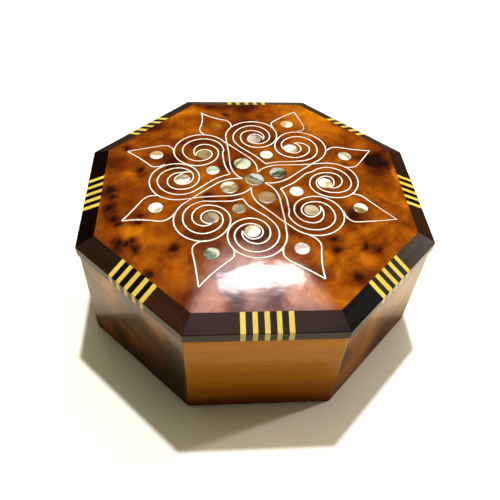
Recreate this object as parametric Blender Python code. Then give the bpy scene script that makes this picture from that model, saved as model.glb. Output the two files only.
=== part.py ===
"""Eight-sided wooden jewelry box with a lift-off lid inlaid with mother of pearl.

Metres, +Z up, -Y the front. The origin is under the middle of the box, on the surface it stands on.
The body is eight mitred wall boards round a floor board. The lid is a crowned burl panel in a bevelled
border, and on each side that border is a striped block between two dark lengths, mitred at the corners.
"""

import math

import bmesh
import bpy
from mathutils import Matrix, Vector

# The eight sides, anticlockwise from +X. Walls of plain wood alternate with walls of burl.
SIDES = (
    "right",
    "back_right",
    "back",
    "back_left",
    "left",
    "front_left",
    "front",
    "front_right",
)
TURN = 2 * math.pi / len(SIDES)
MITRE_SLOPE = math.tan(TURN / 2)
GAP = 0.0003

# Body
BODY_ACROSS_FLATS = 0.1484
WALL_THICKNESS = 0.0080
FLOOR_THICKNESS = 0.0050
SEAM_HEIGHT = 0.0500

# Lid
LID_ACROSS_FLATS = 0.1500
RIM_HEIGHT = 0.0048
BEVEL_RISE = 0.0033
BEVEL_WIDTH = 0.00765
CROWN = 0.0025
CROWN_CUTS = 9
STEP_DEPTH = 0.0020
STEP_CLEARANCE = 0.0007

# Striped blocks: light laminations with dark ones between them
LIGHT_LAMINATIONS = 5
LIGHT_WIDTH = 0.0020
DARK_WIDTH = 0.0025

# Mother-of-pearl discs, set round a middle that lies a little behind the lid's own
PEARL_THICKNESS = 0.0012
PEARL_SEGMENTS = 24
ROSETTE_MIDDLE = Vector((-0.0002, 0.0037))
HEART_TURN = math.radians(67.5)
PETAL_TURN = math.radians(22.5)
SPIRAL_SPREAD = math.radians(18.5)
CENTRE_PEARL_DIAMETER = 0.0086
PETAL_REACH, PETAL_PEARL_DIAMETER = 0.0125, 0.0080
HEART_REACH, HEART_PEARL_DIAMETER = 0.0199, 0.0061
SPIRAL_REACH, SPIRAL_PEARL_DIAMETER = 0.0313, 0.0066
LEAF_REACH, LEAF_PEARL_DIAMETER = 0.0472, 0.0063
RECESS_HEADROOM = 0.0010

# How far each disc was set from its even place: (outwards, anticlockwise), anticlockwise from the first
PETAL_DRIFTS = ((-0.0004, -0.0001), (0.0000, 0.0000), (0.0000, 0.0004), (0.0003, -0.0002))
HEART_DRIFTS = ((-0.0003, 0.0006), (-0.0002, 0.0007), (0.0003, 0.0001), (-0.0001, -0.0003))
SPIRAL_DRIFTS = (
    (-0.0012, 0.0011),
    (-0.0002, 0.0002),
    (-0.0021, 0.0003),
    (0.0007, 0.0009),
    (-0.0004, 0.0010),
    (0.0007, -0.0005),
    (-0.0007, 0.0004),
    (0.0007, 0.0003),
)
LEAF_DRIFTS = (
    (0.0011, 0.0000),
    (0.0014, -0.0008),
    (-0.0015, -0.0010),
    (0.0015, -0.0010),
    (-0.0010, -0.0010),
    (0.0005, -0.0015),
    (-0.0025, -0.0005),
    (0.0015, 0.0008),
)

# Heights and half-widths that follow from the sizes above
WALL_OUTSIDE = BODY_ACROSS_FLATS / 2
WALL_INSIDE = WALL_OUTSIDE - WALL_THICKNESS
LID_UNDERSIDE = SEAM_HEIGHT + GAP
RIM_TOP = SEAM_HEIGHT + RIM_HEIGHT
PANEL_EDGE_TOP = RIM_TOP + BEVEL_RISE
RIM_OUTSIDE = LID_ACROSS_FLATS / 2
PANEL_HALF_WIDTH = RIM_OUTSIDE - BEVEL_WIDTH
BORDER_INSIDE = PANEL_HALF_WIDTH + GAP
BORDER_INSIDE_TOP = PANEL_EDGE_TOP - BEVEL_RISE * GAP / BEVEL_WIDTH
BLOCK_HALF_LENGTH = (LIGHT_LAMINATIONS * LIGHT_WIDTH + (LIGHT_LAMINATIONS - 1) * DARK_WIDTH) / 2


def clear_scene():
    """Remove what the scene holds before the box is made."""
    for obj in list(bpy.data.objects):
        bpy.data.objects.remove(obj, do_unlink=True)


def new_collection(name):
    """A collection of this name under the scene's own."""
    collection = bpy.data.collections.new(name)
    bpy.context.scene.collection.children.link(collection)
    return collection


def new_material(name, colour, roughness, metallic=0.0):
    """A Principled material of one colour."""
    material = bpy.data.materials.new(name)
    material.use_nodes = True
    shader = material.node_tree.nodes["Principled BSDF"]
    shader.inputs["Base Color"].default_value = (*colour, 1.0)
    shader.inputs["Roughness"].default_value = roughness
    shader.inputs["Metallic"].default_value = metallic
    return material


def mesh_from(bm, name, *materials):
    """Turn a finished bmesh into a mesh that is smooth over its crown and crisp at its edges."""
    bmesh.ops.recalc_face_normals(bm, faces=bm.faces)
    mesh = bpy.data.meshes.new(name)
    bm.to_mesh(mesh)
    bm.free()
    for material in materials:
        mesh.materials.append(material)
    mesh.shade_smooth()
    mesh.set_sharp_from_angle(angle=math.radians(20))
    return mesh


def add_empty(name, collection, height, parent=None):
    """An empty over the origin that a group of pieces hangs from."""
    empty = bpy.data.objects.new(name, None)
    empty.empty_display_size = LID_ACROSS_FLATS / 4
    collection.objects.link(empty)
    empty.location = (0, 0, height)
    attach(empty, parent)
    return empty


def attach(obj, parent):
    """Parent an object without moving it. A parent here is only ever lifted, never turned."""
    if parent is None:
        return
    height = sum(holder.location.z for holder in (parent, parent.parent) if holder)
    obj.parent = parent
    obj.matrix_parent_inverse = Matrix.Translation((0, 0, -height))


def add_piece(name, mesh, collection, parent, turn=0.0):
    """A piece of the box, turned about the upright axis through the middle."""
    piece = bpy.data.objects.new(name, mesh)
    collection.objects.link(piece)
    piece.rotation_euler = (0, 0, turn)
    attach(piece, parent)
    return piece


def mitre(distance):
    """Half the length of a side at this distance from the middle, less half the gap at the corner."""
    return distance * MITRE_SLOPE - GAP / 2 / math.cos(TURN / 2)


def bar(inner_low, inner_high, outer_low, outer_high, left_end, right_end):
    """A bar along the side that faces +Y: a cube whose corners go to its section and its ends.

    Each long edge is (distance from the middle, height). An end is a function that gives its place
    along the side at such a distance.
    """
    edges = {
        (False, False): inner_low,
        (False, True): inner_high,
        (True, False): outer_low,
        (True, True): outer_high,
    }
    bm = bmesh.new()
    bmesh.ops.create_cube(bm, size=2.0)
    for vert in bm.verts:
        distance, height = edges[vert.co.y > 0, vert.co.z > 0]
        end = right_end if vert.co.x > 0 else left_end
        vert.co = (end(distance), distance, height)
    return bm


def wall_board():
    """One wall, mitred at both ends."""
    return bar(
        (WALL_INSIDE, 0),
        (WALL_INSIDE, SEAM_HEIGHT),
        (WALL_OUTSIDE, 0),
        (WALL_OUTSIDE, SEAM_HEIGHT),
        lambda distance: -mitre(distance),
        mitre,
    )


def border_length(left_end, right_end):
    """A length of the lid's border: an upright rim with a bevel that rises to the panel."""
    return bar(
        (BORDER_INSIDE, LID_UNDERSIDE),
        (BORDER_INSIDE, BORDER_INSIDE_TOP),
        (RIM_OUTSIDE, LID_UNDERSIDE),
        (RIM_OUTSIDE, RIM_TOP),
        left_end,
        right_end,
    )


def dark_border(hand):
    """The dark length at one end of a side. A hand of 1 is the anticlockwise end, and -1 the other."""
    block_end = BLOCK_HALF_LENGTH + GAP
    if hand > 0:
        return border_length(lambda distance: -mitre(distance), lambda distance: -block_end)
    return border_length(lambda distance: block_end, mitre)


def striped_block():
    """The striped block in the middle of a side, with its laminations glued into one."""
    bm = border_length(
        lambda distance: -BLOCK_HALF_LENGTH,
        lambda distance: BLOCK_HALF_LENGTH,
    )
    pitch = LIGHT_WIDTH + DARK_WIDTH
    for index in range(LIGHT_LAMINATIONS - 1):
        light_end = index * pitch + LIGHT_WIDTH - BLOCK_HALF_LENGTH
        for joint in (light_end, light_end + DARK_WIDTH):
            bmesh.ops.bisect_plane(
                bm,
                geom=bm.verts[:] + bm.edges[:] + bm.faces[:],
                dist=1e-6,
                plane_co=(joint, 0, 0),
                plane_no=(1, 0, 0),
            )
    for face in bm.faces:
        along = face.calc_center_median().x + BLOCK_HALF_LENGTH
        face.material_index = int(along % pitch > LIGHT_WIDTH)
    return bm


def octagonal_prism(half_width, low, high):
    """A solid octagon with flat sides towards the axes."""
    corner = half_width / math.cos(TURN / 2)
    bm = bmesh.new()
    bmesh.ops.create_cone(
        bm,
        cap_ends=True,
        segments=len(SIDES),
        radius1=corner,
        radius2=corner,
        depth=high - low,
        matrix=Matrix.Translation((0, 0, (low + high) / 2)) @ Matrix.Rotation(TURN / 2, 4, "Z"),
    )
    return bm


def crown_height(x, y):
    """How far the crown stands above the panel's edge: round in the middle and eight-sided at the edge."""
    radius = math.hypot(x, y)
    if radius == 0:
        return CROWN
    to_side = max(
        x * math.cos(side * TURN) + y * math.sin(side * TURN) for side in range(len(SIDES))
    )
    reach = to_side / PANEL_HALF_WIDTH
    ratio = radius / PANEL_HALF_WIDTH / (1 + reach**4 * (radius / to_side - 1))
    return CROWN * (1 - ratio**2)


def crown_normal(x, y):
    """The crown's upward direction at this place."""
    step = PEARL_THICKNESS
    slope_x = (crown_height(x + step, y) - crown_height(x - step, y)) / (2 * step)
    slope_y = (crown_height(x, y + step) - crown_height(x, y - step)) / (2 * step)
    return Vector((-slope_x, -slope_y, 1)).normalized()


def lid_panel():
    """The crowned panel, with a step under it that drops inside the walls."""
    bm = octagonal_prism(PANEL_HALF_WIDTH, LID_UNDERSIDE, PANEL_EDGE_TOP)
    bm.faces.ensure_lookup_table()
    by_height = sorted(bm.faces, key=lambda face: face.calc_center_median().z)
    underside, top = by_height[0], by_height[-1]
    step_inset = PANEL_HALF_WIDTH - (WALL_INSIDE - STEP_CLEARANCE)
    bmesh.ops.inset_region(bm, faces=[underside], thickness=step_inset, use_even_offset=True)
    lowered = bmesh.ops.extrude_discrete_faces(bm, faces=[underside])["faces"]
    bmesh.ops.translate(bm, vec=(0, 0, -STEP_DEPTH), verts=lowered[0].verts)
    wedges = bmesh.ops.poke(bm, faces=[top])["faces"]
    wedge_edges = {edge for face in wedges for edge in face.edges}
    bmesh.ops.subdivide_edges(bm, edges=list(wedge_edges), cuts=CROWN_CUTS, use_grid_fill=True)
    for vert in bm.verts:
        if vert.co.z > PANEL_EDGE_TOP - GAP:
            vert.co.z = PANEL_EDGE_TOP + max(0.0, crown_height(vert.co.x, vert.co.y))
    return bm


def disc(radius, low, high):
    """A round disc about its own Z axis."""
    bm = bmesh.new()
    bmesh.ops.create_cone(
        bm,
        cap_ends=True,
        segments=PEARL_SEGMENTS,
        radius1=radius,
        radius2=radius,
        depth=high - low,
        matrix=Matrix.Translation((0, 0, (low + high) / 2)),
    )
    return bm


def ring_places(reach, first_turn, drifts):
    """Places evenly round the rosette's middle, one for each drift and moved by it."""
    places = []
    for index, (out, across) in enumerate(drifts):
        turn = first_turn + index * 2 * math.pi / len(drifts)
        outwards = Vector((math.cos(turn), math.sin(turn)))
        sideways = Vector((-outwards.y, outwards.x))
        places.append(ROSETTE_MIDDLE + outwards * (reach + out) + sideways * across)
    return places


def spiral_places():
    """Places of the discs in the spirals, in pairs on the two sides of each heart."""
    before = ring_places(SPIRAL_REACH, HEART_TURN - SPIRAL_SPREAD, SPIRAL_DRIFTS[0::2])
    after = ring_places(SPIRAL_REACH, HEART_TURN + SPIRAL_SPREAD, SPIRAL_DRIFTS[1::2])
    return [place for pair in zip(before, after) for place in pair]


def pearl_rings():
    """Each group of discs: its name, its diameter and its places."""
    return (
        ("petal", PETAL_PEARL_DIAMETER, ring_places(PETAL_REACH, PETAL_TURN, PETAL_DRIFTS)),
        ("heart", HEART_PEARL_DIAMETER, ring_places(HEART_REACH, HEART_TURN, HEART_DRIFTS)),
        ("spiral", SPIRAL_PEARL_DIAMETER, spiral_places()),
        ("leaf", LEAF_PEARL_DIAMETER, ring_places(LEAF_REACH, PETAL_TURN, LEAF_DRIFTS)),
    )


def set_in_crown(obj, place):
    """Move a disc so that its top face lies on the crown and its axis stands square to it."""
    obj.location = (*place, PANEL_EDGE_TOP + crown_height(*place))
    obj.rotation_euler = Vector((0, 0, 1)).rotation_difference(crown_normal(*place)).to_euler()


def add_pearls(pieces, cutters, lid, pearl):
    """The pearl discs, and a cutter for the recess of each."""
    centre = ("pearl_centre", CENTRE_PEARL_DIAMETER, ROSETTE_MIDDLE)
    named = [centre] + [
        (f"pearl_{group}_{number}", diameter, place)
        for group, diameter, places in pearl_rings()
        for number, place in enumerate(places, start=1)
    ]
    meshes = {}
    for name, diameter, place in named:
        if diameter not in meshes:
            recess = disc(diameter / 2 + GAP, -PEARL_THICKNESS - GAP, RECESS_HEADROOM)
            meshes[diameter] = (
                mesh_from(disc(diameter / 2, -PEARL_THICKNESS, 0), "pearl disc", pearl),
                mesh_from(recess, "pearl recess"),
            )
        disc_mesh, recess_mesh = meshes[diameter]
        set_in_crown(add_piece(name, disc_mesh, pieces, lid), place)
        cutter = add_piece(f"recess_for_{name}", recess_mesh, cutters, lid)
        cutter.display_type = "WIRE"
        cutter.hide_render = True
        set_in_crown(cutter, place)


def main():
    """Build the box."""
    clear_scene()
    pieces = new_collection("jewelry_box")
    cutters = new_collection("cutters")
    cutters.hide_render = True

    burl = new_material("burl", (0.34, 0.11, 0.015), 0.12)
    plain_wood = new_material("plain_wood", (0.45, 0.20, 0.04), 0.18)
    dark_wood = new_material("dark_wood", (0.020, 0.010, 0.007), 0.15)
    light_stripe = new_material("light_stripe", (0.85, 0.60, 0.10), 0.20)
    black_stripe = new_material("black_stripe", (0.008, 0.007, 0.006), 0.15)
    pearl = new_material("mother_of_pearl", (0.72, 0.74, 0.66), 0.15)

    box = add_empty("box", pieces, 0)
    lid = add_empty("lid", pieces, LID_UNDERSIDE, box)

    walls = (
        mesh_from(wall_board(), "plain wall", plain_wood),
        mesh_from(wall_board(), "burl wall", burl),
    )
    first_end = mesh_from(dark_border(1), "dark border a", dark_wood)
    second_end = mesh_from(dark_border(-1), "dark border b", dark_wood)
    stripes = mesh_from(striped_block(), "striped block", light_stripe, black_stripe)
    for index, side in enumerate(SIDES):
        turn = index * TURN - math.pi / 2
        add_piece(f"wall_{side}", walls[index % 2], pieces, box, turn)
        add_piece(f"border_{side}_a", first_end, pieces, lid, turn)
        add_piece(f"border_{side}_b", second_end, pieces, lid, turn)
        add_piece(f"stripes_{side}", stripes, pieces, lid, turn)

    floor = mesh_from(octagonal_prism(WALL_INSIDE - GAP, 0, FLOOR_THICKNESS), "floor", plain_wood)
    add_piece("floor_board", floor, pieces, box)

    panel = add_piece("lid_panel", mesh_from(lid_panel(), "lid panel", burl), pieces, lid)
    add_pearls(pieces, cutters, lid, pearl)
    recesses = panel.modifiers.new("pearl recesses", "BOOLEAN")
    recesses.operand_type = "COLLECTION"
    recesses.collection = cutters


main()
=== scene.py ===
"""Eight-sided wooden jewelry box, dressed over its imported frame.

The body is eight mitred walls, plain wood and burl by turns, round a floor board. The lid is a crowned
burl panel in a dark bevelled rim with a striped block in the middle of each side. Wire and mother of
pearl are let into the panel. Metres, +Z up, -Y the front.
"""

import logging
import math
import random
from dataclasses import dataclass, field
from enum import Enum
from typing import Callable, Iterable, Sequence

import bmesh
import bpy
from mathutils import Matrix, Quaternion, Vector


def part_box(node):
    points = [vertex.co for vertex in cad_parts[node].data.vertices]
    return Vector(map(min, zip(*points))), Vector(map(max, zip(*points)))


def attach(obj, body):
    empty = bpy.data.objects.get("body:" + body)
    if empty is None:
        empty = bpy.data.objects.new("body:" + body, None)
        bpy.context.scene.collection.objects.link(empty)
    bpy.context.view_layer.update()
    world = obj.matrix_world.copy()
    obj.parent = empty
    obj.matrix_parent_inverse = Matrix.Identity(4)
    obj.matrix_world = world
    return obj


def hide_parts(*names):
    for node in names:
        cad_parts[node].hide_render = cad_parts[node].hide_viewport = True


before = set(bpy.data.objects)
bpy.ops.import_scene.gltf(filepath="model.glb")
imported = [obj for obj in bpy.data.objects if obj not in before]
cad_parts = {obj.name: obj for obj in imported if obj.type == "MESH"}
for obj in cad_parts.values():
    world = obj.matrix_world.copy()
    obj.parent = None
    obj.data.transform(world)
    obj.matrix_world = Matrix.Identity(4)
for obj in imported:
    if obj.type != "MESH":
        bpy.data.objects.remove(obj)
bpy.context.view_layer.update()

MILLIMETRE = 0.001
SIDE_COUNT = 8
SIDE_TURN = 2 * math.pi / SIDE_COUNT
MITRE_SLOPE = math.tan(SIDE_TURN / 2)

Colour = tuple[float, float, float]
Place = tuple[float, float]
Point = tuple[float, float, float]
Span = tuple[float, float]
Stop = tuple[float, Colour]
Socket = bpy.types.NodeSocket
Value = float | Sequence[float] | Socket

BLACK: Colour = (0.0, 0.0, 0.0)
LEVEL: Point = (1.0, 1.0, 0.0)
NOISE_SPAN: Span = (0.3, 0.7)

log = logging.getLogger("jewelry_box")


def middle_of(node: str) -> Place:
    """The middle of a node of the frame, seen from above."""
    low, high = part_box(node)
    return (low[0] + high[0]) / 2, (low[1] + high[1]) / 2


class Side(Enum):
    """The eight sides by the way each one faces, anticlockwise from +X."""

    RIGHT = 0
    BACK_RIGHT = 1
    BACK = 2
    BACK_LEFT = 3
    LEFT = 4
    FRONT_LEFT = 5
    FRONT = 6
    FRONT_RIGHT = 7

    @property
    def label(self) -> str:
        """The side's name in the frame's nodes."""
        return self.name.lower()

    @property
    def turn(self) -> float:
        """The turn about +Z that brings a board made facing +Y to this side, in radians."""
        return self.value * SIDE_TURN - math.pi / 2

    @property
    def is_burl(self) -> bool:
        """True where the wall is burl: every second wall, from the back right."""
        return self.value % 2 == 1


class Hand(Enum):
    """The two hands of a side or of a heart, seen from above."""

    ANTICLOCKWISE = 1
    CLOCKWISE = -1

    @property
    def letter(self) -> str:
        """The hand's letter in the frame's nodes."""
        return "a" if self is Hand.ANTICLOCKWISE else "b"


# ---- Node sheets and shared effects ----


class NodeSheet:
    """Adds nodes to one tree and links them, so that a finish reads as a list of steps."""

    def __init__(self, tree: bpy.types.NodeTree) -> None:
        """Start on a tree."""
        self.tree = tree

    def join(self, value: Value, socket: Socket) -> None:
        """Link a socket to an input, or set the input to a value.

        Args:
            value: The socket or the value. A colour is given as three numbers.
            socket: The input.
        """
        if isinstance(value, Socket):
            self.tree.links.new(value, socket)
        elif socket.type == "RGBA":
            socket.default_value = (*value, 1.0)
        else:
            socket.default_value = value

    def add(
        self, kind: str, given: dict[str | int, Value] | None = None, **settings: object
    ) -> bpy.types.Node:
        """Add a node.

        Args:
            kind: Blender's name for the node.
            given: A value or a socket for each input that is set.
            **settings: Properties of the node itself.

        Returns:
            The new node.
        """
        node = self.tree.nodes.new(kind)
        for name, setting in settings.items():
            setattr(node, name, setting)
        for name, value in (given or {}).items():
            self.join(value, node.inputs[name])
        return node

    def place(self, effect: "Effect", given: dict[str, Value]) -> bpy.types.NodeOutputs:
        """Place a shared effect with its inputs, and give the outputs of its node."""
        return self.add("ShaderNodeGroup", given, node_tree=effect.tree()).outputs

    def math(self, operation: str, first: Value, second: Value = 0.0) -> Socket:
        """The result of one step of arithmetic."""
        return self.add("ShaderNodeMath", {0: first, 1: second}, operation=operation).outputs[0]

    def vector_math(self, operation: str, first: Value, second: Value = (0, 0, 0)) -> Socket:
        """The vector that one step of vector arithmetic gives."""
        given = {0: first, 1: second}
        return self.add("ShaderNodeVectorMath", given, operation=operation).outputs["Vector"]

    def shares(self, first: Socket, first_share: float, second: Socket, second_share: float) -> Socket:
        """The sum of two values, each times its share."""
        parts = (self.math("MULTIPLY", first, first_share), self.math("MULTIPLY", second, second_share))
        return self.math("ADD", *parts)

    def length(self, vector: Socket) -> Socket:
        """How long a vector is."""
        return self.add("ShaderNodeVectorMath", {0: vector}, operation="LENGTH").outputs["Value"]

    def part(self, vector: Socket, axis: str) -> Socket:
        """A vector's X, Y or Z."""
        return self.add("ShaderNodeSeparateXYZ", {"Vector": vector}).outputs[axis]

    def turned(self, vector: Socket, angle: Value, axis: str) -> Socket:
        """A vector turned about an axis by an angle in radians."""
        given = {"Vector": vector, "Angle": angle}
        return self.add("ShaderNodeVectorRotate", given, rotation_type=f"{axis}_AXIS").outputs["Vector"]

    def swayed(self, vector: Socket, density: float, reach: float) -> Socket:
        """A place that wanders by up to half a reach each way."""
        given = {"Vector": vector, "Density": density, "Reach": reach}
        return self.place(Meander(), given)["Vector"]

    def range(
        self,
        value: Value,
        low: float,
        high: float,
        to_low: Value = 0.0,
        to_high: Value = 1.0,
        soft: bool = False,
    ) -> Socket:
        """Carry a value from one range to another and hold it there.

        Args:
            value: The value to carry.
            low: The start of its range.
            high: The end of its range.
            to_low: What the start becomes.
            to_high: What the end becomes.
            soft: True to ease in and out.

        Returns:
            The carried value.
        """
        given = {"Value": value, "From Min": low, "From Max": high, "To Min": to_low, "To Max": to_high}
        kind = "SMOOTHSTEP" if soft else "LINEAR"
        return self.add("ShaderNodeMapRange", given, interpolation_type=kind, clamp=True).outputs["Result"]

    def noise(
        self,
        place: Value,
        density: float,
        detail: float = 2.0,
        roughness: float = 0.5,
        distortion: float = 0.0,
    ) -> Socket:
        """A noise over a place, mostly within NOISE_SPAN.

        Args:
            place: The place.
            density: How many times a metre it changes.
            detail: How many finer layers it has.
            roughness: How strong the finer layers are.
            distortion: How much it is bent by itself.

        Returns:
            The noise.
        """
        given = {
            "Vector": place,
            "Scale": density,
            "Detail": detail,
            "Roughness": roughness,
            "Distortion": distortion,
        }
        return self.add("ShaderNodeTexNoise", given).outputs["Fac"]

    def spread(self, noise: Socket, to_low: float = 0.0, to_high: float = 1.0) -> Socket:
        """A noise carried from its usual span to another one."""
        return self.range(noise, *NOISE_SPAN, to_low, to_high)

    def blend(self, mask: Value, first: Value, second: Value, kind: str = "MIX") -> Socket:
        """Blend two colours by a mask.

        Args:
            mask: 0 keeps the first colour.
            first: The colour under the mask.
            second: The colour that the mask lays over it.
            kind: Blender's name for the way of blending.

        Returns:
            The blended colour.
        """
        mask_input, first_input, second_input, colour_output = 0, 6, 7, 2
        given = {mask_input: mask, first_input: first, second_input: second}
        return self.add("ShaderNodeMix", given, data_type="RGBA", blend_type=kind).outputs[colour_output]

    def ramp(self, value: Value, stops: Sequence[Stop]) -> Socket:
        """Colour a value by a row of stops.

        Args:
            value: The value, from 0 to 1.
            stops: The stops in order.

        Returns:
            The colour.
        """
        node = self.add("ShaderNodeValToRGB", {"Fac": value})
        marks = node.color_ramp.elements
        while len(marks) < len(stops):
            marks.new(1.0)
        for mark, (at, colour) in zip(marks, stops):
            mark.position = at
            mark.color = (*colour, 1.0)
        return node.outputs["Color"]


@dataclass(frozen=True)
class Terminal:
    """A named input or output of a shared effect, with the value it starts from."""

    name: str
    kind: str = "NodeSocketFloat"
    start: float | None = None


class Effect:
    """A shader node group that is built once and placed in each material with its own values."""

    title = ""
    takes: tuple[Terminal, ...] = ()
    gives: tuple[Terminal, ...] = ()

    def tree(self) -> bpy.types.NodeTree:
        """Find the node group, or build it when it is first asked for.

        Returns:
            The node group.
        """
        made = bpy.data.node_groups.get(self.title)
        if made:
            return made
        made = bpy.data.node_groups.new(self.title, "ShaderNodeTree")
        for terminals, way in ((self.takes, "INPUT"), (self.gives, "OUTPUT")):
            for terminal in terminals:
                socket = made.interface.new_socket(terminal.name, in_out=way, socket_type=terminal.kind)
                if terminal.start is not None:
                    socket.default_value = terminal.start
        sheet = NodeSheet(made)
        given = sheet.add("NodeGroupInput").outputs
        sheet.add("NodeGroupOutput", self.build(sheet, given))
        return made

    def build(self, sheet: NodeSheet, given: bpy.types.NodeOutputs) -> dict[str, Socket]:
        """Fill the group.

        Args:
            sheet: The group's sheet.
            given: The group's inputs.

        Returns:
            A socket for each output.
        """
        raise NotImplementedError


VECTOR_IN = Terminal("Vector", "NodeSocketVector")


class SoftSpot(Effect):
    """A soft oval spot about one place."""

    title = "soft spot"
    takes = (VECTOR_IN, Terminal("Place", "NodeSocketVector"), Terminal("Reach", "NodeSocketVector"))
    gives = (Terminal("Mask"),)

    def build(self, sheet: NodeSheet, given: bpy.types.NodeOutputs) -> dict[str, Socket]:
        """Make a mask that falls from 1 at the place to 0 at its reach each way.

        Args:
            sheet: The group's sheet.
            given: The group's inputs.

        Returns:
            The mask.
        """
        apart = sheet.vector_math("SUBTRACT", given["Vector"], given["Place"])
        reached = sheet.length(sheet.vector_math("DIVIDE", apart, given["Reach"]))
        return {"Mask": sheet.range(reached, 1.0, 0.0, soft=True)}


class Meander(Effect):
    """Sways a place from side to side, so that a figure over it looks grown."""

    title = "meander"
    takes = (VECTOR_IN, Terminal("Density", start=50.0), Terminal("Reach", start=0.004))
    gives = (Terminal("Vector", "NodeSocketVector"),)
    middle: Point = (0.5, 0.5, 0.5)

    def build(self, sheet: NodeSheet, given: bpy.types.NodeOutputs) -> dict[str, Socket]:
        """Move the place by a slow noise of its own.

        Args:
            sheet: The group's sheet.
            given: The group's inputs.

        Returns:
            The moved place.
        """
        wander = {"Vector": given["Vector"], "Scale": given["Density"], "Detail": 1.0}
        sway = sheet.add("ShaderNodeTexNoise", wander).outputs["Color"]
        centred = {0: sheet.vector_math("SUBTRACT", sway, self.middle), "Scale": given["Reach"]}
        scaled = sheet.add("ShaderNodeVectorMath", centred, operation="SCALE").outputs["Vector"]
        return {"Vector": sheet.vector_math("ADD", given["Vector"], scaled)}


class BurlFigure(Effect):
    """Burl: soft clouds, faint streaks that wander through them, and small clustered eyes."""

    title = "burl figure"
    takes = (VECTOR_IN,)
    gives = (Terminal("Clouds"), Terminal("Streaks"), Terminal("Eyes"))
    cloud_density = 58.0
    streak_density = 210.0
    streak_slant = math.radians(35.0)
    streak_stretch: Point = (1.0, 0.42, 1.0)
    fibre_density = 1300.0
    broad_share = 0.8
    fibre_share = 0.2
    eye_density = 135.0
    eye_edges: Span = (0.36, 0.10)
    chosen_eyes: Span = (0.62, 0.70)
    cluster_density = 38.0
    cluster_edges: Span = (0.52, 0.60)

    def build(self, sheet: NodeSheet, given: bpy.types.NodeOutputs) -> dict[str, Socket]:
        """Make three masks, each from 0 to 1.

        Args:
            sheet: The group's sheet.
            given: The group's inputs.

        Returns:
            The clouds, the streaks and the eyes.
        """
        slow = sheet.swayed(given["Vector"], density=40.0, reach=0.014)
        grown = sheet.swayed(slow, density=150.0, reach=0.004)
        clouds = sheet.spread(sheet.noise(grown, self.cloud_density, detail=3.0))

        curled = sheet.swayed(sheet.turned(slow, self.streak_slant, "Z"), density=60.0, reach=0.020)
        long_way = sheet.vector_math("MULTIPLY", curled, self.streak_stretch)
        broad = sheet.noise(long_way, self.streak_density, detail=4.0, roughness=0.6, distortion=0.4)
        fine = sheet.noise(grown, self.fibre_density, detail=3.0)
        streaks = sheet.spread(sheet.shares(broad, self.broad_share, fine, self.fibre_share))

        buds = sheet.add("ShaderNodeTexVoronoi", {"Vector": grown, "Scale": self.eye_density}).outputs
        small = sheet.range(buds["Distance"], *self.eye_edges, soft=True)
        parts = sheet.add("ShaderNodeSeparateColor", {"Color": buds["Color"]}).outputs
        chosen = sheet.range(parts["Red"], *self.chosen_eyes)
        clustered = sheet.noise(slow, self.cluster_density, detail=1.0)
        cluster = sheet.range(clustered, *self.cluster_edges, soft=True)
        eyes = sheet.math("MULTIPLY", sheet.math("MULTIPLY", small, chosen), cluster)
        return {"Clouds": clouds, "Streaks": streaks, "Eyes": eyes}


class LevelGrain(Effect):
    """Straight-grained wood along X: soft bands, fine streaks and short pores."""

    title = "level grain"
    takes = (VECTOR_IN,)
    gives = (Terminal("Bands"), Terminal("Streaks"), Terminal("Pores"))
    grain_stretch: Point = (0.07, 1.0, 1.0)
    pore_stretch: Point = (0.12, 1.0, 1.0)
    band_density = 130.0
    streak_density = 900.0
    pore_density = 3200.0
    pore_edges: Span = (0.64, 0.72)

    def build(self, sheet: NodeSheet, given: bpy.types.NodeOutputs) -> dict[str, Socket]:
        """Make three masks, each from 0 to 1.

        Args:
            sheet: The group's sheet.
            given: The group's inputs.

        Returns:
            The bands, the streaks and the pores.
        """
        sway = sheet.swayed(given["Vector"], density=14.0, reach=0.004)
        long_way = sheet.vector_math("MULTIPLY", sway, self.grain_stretch)
        bands = sheet.noise(long_way, self.band_density)
        streaks = sheet.noise(long_way, self.streak_density, detail=4.0, roughness=0.65)
        short_way = sheet.vector_math("MULTIPLY", sway, self.pore_stretch)
        pores = sheet.noise(short_way, self.pore_density, detail=1.0)
        return {
            "Bands": sheet.spread(bands),
            "Streaks": sheet.spread(streaks),
            "Pores": sheet.range(pores, *self.pore_edges),
        }


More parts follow.
